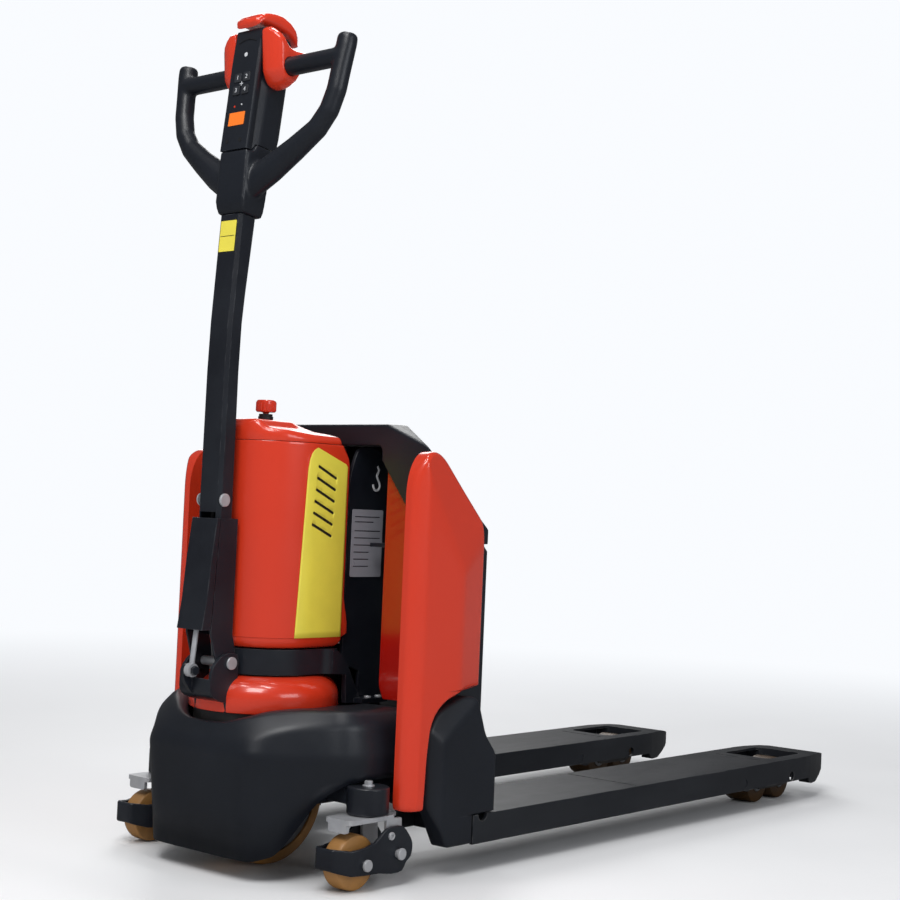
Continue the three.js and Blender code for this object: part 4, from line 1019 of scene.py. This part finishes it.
def build_tiller_details():
    for side, sign in SIDES:
        head = [(r, h * sign) for r, h in button_head(0.0098, 0.0032, 0.0014)]
        lathe("upper_pin_" + side, head, (-0.122, sign * 0.0241, 0.548), "y", "tiller", ZINC, 48)
    slope = math.atan2(7.6, 114)
    label, rule = (basis((x, 0, 0.943), (0, -1, 0), (math.sin(slope), 0, math.cos(slope)))
                   for x in (-0.1188, -0.1193))
    sheet("yellow_label", rectangle(34, 47), 0.0005, label, "tiller", YELLOW)
    sheet("label_rule", rectangle(30, 0.9, 0.2), 0.0002, rule, "tiller", INK_AND_PAINTED_SHADE)
    ball = [(0.0001, -0.0068)] + [(0.0068 * math.cos(t * math.pi / 12), 0.0068 * math.sin(t * math.pi / 12))
                                  for t in range(-5, 6)] + [(0.0001, 0.0068), (0.0001, -0.0068)]
    lathe("joint_ball", ball, (-0.149, 0, 0.297), "y", "drive_unit", ZINC, 40)


def build_caster_details():
    for side, sign in SIDES:
        low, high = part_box("caster_mount_" + side)
        x, y, top = high[0] - 0.031, sign * (max(abs(low[1]), abs(high[1])) - 0.031), high[2] - 0.0002
        hex_bolt("caster_bolt_" + side, (x, y, top), (0, 0, 1), 0.0065, 0.006, "chassis")
        for face in (-1, 1):
            name = "{}_{}".format(side, "outer" if face == sign else "inner")
            turned_head = [(r, h * face) for r, h in button_head(0.0085, 0.004, 0.0011)]
            lathe("hinge_head_" + name, turned_head, (x + 0.034, y + face * 0.0380, 0.048), "y",
                  "caster_bracket_" + side, ZINC, 40)
            lathe("axle_head_" + name, turned_head, (x - 0.035, y + face * 0.0360, 0.040), "y",
                  "caster_arm_" + side, ZINC, 40)
            cap_screw("stop_screw_" + name, (x + 0.017, y + face * 0.0330, 0.075), (0, face, 0), 0.0058,
                      "caster_arm_" + side)


def build_fork_details():
    for side, sign in SIDES:
        low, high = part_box("fork_" + side)
        y = (low[1] + high[1]) / 2
        bead = [(0.640, y + across, high[2] + 0.0001) for across in (-0.073, 0, 0.073)]
        tube("fork_weld_" + side, bead, 0.0009, "fork_frame", FORK_PAINT)
        shape_fork(side, y, high[2])


def shape_fork(side, centre, top):
    """The fork with its long upper edges folded round, as in bent plate."""
    source = NODES["fork_" + side]
    bm = bmesh.new()
    bm.from_mesh(source.data)
    bm.transform(source.matrix_world)
    bmesh.ops.remove_doubles(bm, verts=bm.verts, dist=2e-5)
    bmesh.ops.dissolve_limit(bm, angle_limit=math.radians(0.8), verts=bm.verts, edges=bm.edges)
    folds = []
    for edge in bm.edges:
        if len(edge.link_faces) != 2:
            continue
        a, b = edge.verts
        outside = all(abs(v.co.y - centre) > 0.0795 or v.co.x > 1.25 for v in (a, b))
        high = all(v.co.z > top - 0.0003 or (v.co.x > 1.29 and v.co.z > top - 0.016) for v in (a, b))
        window = all(v.co.x < 1.2755 and abs(v.co.y - centre) < 0.052 for v in (a, b))
        if outside and high and not window and edge.calc_face_angle(0) > math.radians(35):
            folds.append(edge)
    bmesh.ops.bevel(bm, geom=folds, offset=0.0042, segments=5, profile=0.5, affect="EDGES",
                    clamp_overlap=True)
    piece = ridden("fork_plate_" + side, mesh_of("fork_plate_" + side, bm, 30), "fork_frame", FORK_PAINT)
    edge_bevel(piece, 0.0008, 40)
    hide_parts("fork_" + side)


# ---- wheels ----
def wheel_profile(radius, half, bore, hub, lip):
    """Half-section of a wheel: a hub that stands proud, a recessed web and a crowned tread."""
    shoulder = ((radius - 0.0045, half - lip), (radius - 0.0015, half - lip - 0.0012),
                (radius - 0.0003, half - lip - 0.004), (radius, half * 0.3))
    tread = [(r, -h) for r, h in shoulder] + list(reversed(shoulder))
    return [(bore, -half), (hub, -half), (hub + 0.001, -half + lip), *tread, (hub + 0.001, half - lip),
            (hub, half), (bore, half), (bore, -half)]


def build_wheel(node, bore, hub, lip, material):
    low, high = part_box(node)
    centre = (Vector(low) + Vector(high)) / 2
    radius = (high[2] - low[2]) / 2
    half = (high[1] - low[1]) / 2
    tyre = lathe(node + "_tyre", wheel_profile(radius, half - 0.0006, hub + 0.0005, hub + 0.0005, lip),
                 centre, "y", node, material)
    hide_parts(node)
    rim = [(bore, -half), (hub - 0.001, -half), (hub, -half + 0.001), (hub, half - 0.001),
           (hub - 0.001, half), (bore, half), (bore, -half)]
    lathe(node + "_rim", rim, centre, "y", node, ALLOY)


def build_wheels():
    for side, _ in SIDES:
        build_wheel("caster_wheel_" + side, 0.0073, 0.0155, 0.0022, URETHANE)
        for place in ("rear", "front"):
            # The load wheels get the darkened tread: painted shade.
            build_wheel("load_wheel_{}_{}".format(side, place), 0.0083, 0.0185, 0.0012, LOAD_TREAD_PAINTED_SHADE)
    low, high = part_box("drive_tyre")
    centre = (Vector(low) + Vector(high)) / 2
    radius, half = (high[2] - low[2]) / 2, (high[1] - low[1]) / 2
    inner = radius - 0.0166
    profile = [(inner, -half), (radius - 0.006, -half), (radius - 0.0015, -half + 0.0015),
               (radius, -half + 0.007), (radius, half - 0.007), (radius - 0.0015, half - 0.0015),
               (radius - 0.006, half), (inner, half), (inner, -half)]
    tyre = lathe("drive_tyre_tread", profile, centre, "y", "drive_wheel", URETHANE, 96)
    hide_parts("drive_tyre")


# ---- camera, light and floor ----
def add_area(name, place, target, size, power, colour=(1, 1, 1)):
    light = bpy.data.lights.new(name, "AREA")
    light.shape = "RECTANGLE"
    light.size, light.size_y = size
    light.energy = power
    light.color = colour
    lamp = bpy.data.objects.new(name, light)
    lamp.location = place
    lamp.rotation_euler = (Vector(target) - Vector(place)).to_track_quat("-Z", "Y").to_euler()
    bpy.context.collection.objects.link(lamp)


def build_stage():
    bm = bmesh.new()
    reach = 30.0
    corners = ((-reach, -reach, 0), (reach, -reach, 0), (reach, reach, 0), (-reach, reach, 0))
    bm.faces.new([bm.verts.new(corner) for corner in corners])
    floor = bpy.data.objects.new("floor", mesh_of("floor", bm))
    bpy.context.collection.objects.link(floor)
    floor.location.z = cad_box[0][2] - 0.0005
    floor.data.materials.append(floor_finish())
    build_world()
    add_area("key", (-2.2, -1.2, 3.2), (0.2, 0, 0.4), (1.4, 1.4), 62)
    add_area("fill", (-0.2, -4.2, 1.9), (0.3, 0, 0.4), (2.2, 1.4), 34, (0.93, 0.96, 1.0))
    add_area("back", (2.8, 2.6, 2.6), (0.4, 0, 0.5), (2.0, 2.0), 42)
    for i, (x, y) in enumerate(((-1.5, 0.4), (-0.7, -0.9), (0.3, 0.2))):
        add_area("ceiling_{}".format(i + 1), (x, y, 3.3), (x, y, 0), (0.16, 0.9), 11)
    bpy.context.scene.view_settings.view_transform = "Standard"


def build_world():
    """White to the camera, softer as a light and dim in reflections."""
    world = bpy.data.worlds.new("studio")
    world.use_nodes = True
    tree = world.node_tree
    back = tree.nodes["Background"]
    back.inputs["Color"].default_value = (0.95, 0.97, 1.0, 1)
    path = tree.nodes.new("ShaderNodeLightPath")
    strength = None
    for ray, base, share in (("Is Camera Ray", 0.46, 0.54), ("Is Glossy Ray", 0.0, -0.36)):
        level = tree.nodes.new("ShaderNodeMath")
        level.operation = "MULTIPLY_ADD"
        tree.links.new(path.outputs[ray], level.inputs[0])
        level.inputs[1].default_value = share
        level.inputs[2].default_value = base
        if strength:
            tree.links.new(strength, level.inputs[2])
        strength = level.outputs[0]
    tree.links.new(strength, back.inputs["Strength"])
    bpy.context.scene.world = world


EYE = (-1.7506, -1.8422, 0.5426)
YAW, PITCH, ROLL = (math.radians(v) for v in (49.62, 2.22, 2.46))
FOCAL = 65.48


def build_camera():
    forward = Vector((math.sin(YAW) * math.cos(PITCH), math.cos(YAW) * math.cos(PITCH), math.sin(PITCH)))
    right = Vector((math.cos(YAW), -math.sin(YAW), 0))
    up = right.cross(forward)
    rolled_right = right * math.cos(ROLL) + up * math.sin(ROLL)
    rolled_up = up * math.cos(ROLL) - right * math.sin(ROLL)
    lens = bpy.data.cameras.new("camera")
    lens.lens = FOCAL
    lens.sensor_width = 36
    lens.clip_end = 200
    camera = bpy.data.objects.new("camera", lens)
    camera.matrix_world = Matrix.Translation(EYE) @ Matrix(
        (rolled_right, rolled_up, -forward)).transposed().to_4x4()
    bpy.context.collection.objects.link(camera)
    bpy.context.scene.camera = camera


dress_cad_nodes()
round_cad_nodes()
mould_cad_nodes()
build_wheels()
build_drum()
build_drum_cap()
for label, way in SIDES:
    build_vent_panel(label, way)
build_stop_knob()
build_dome()
build_skirt()
build_side_panels()
build_collar_details()
build_throttles()
build_belly_pad()
build_head_marks()
build_tiller_details()
build_caster_details()
build_fork_details()
build_stage()
build_camera()
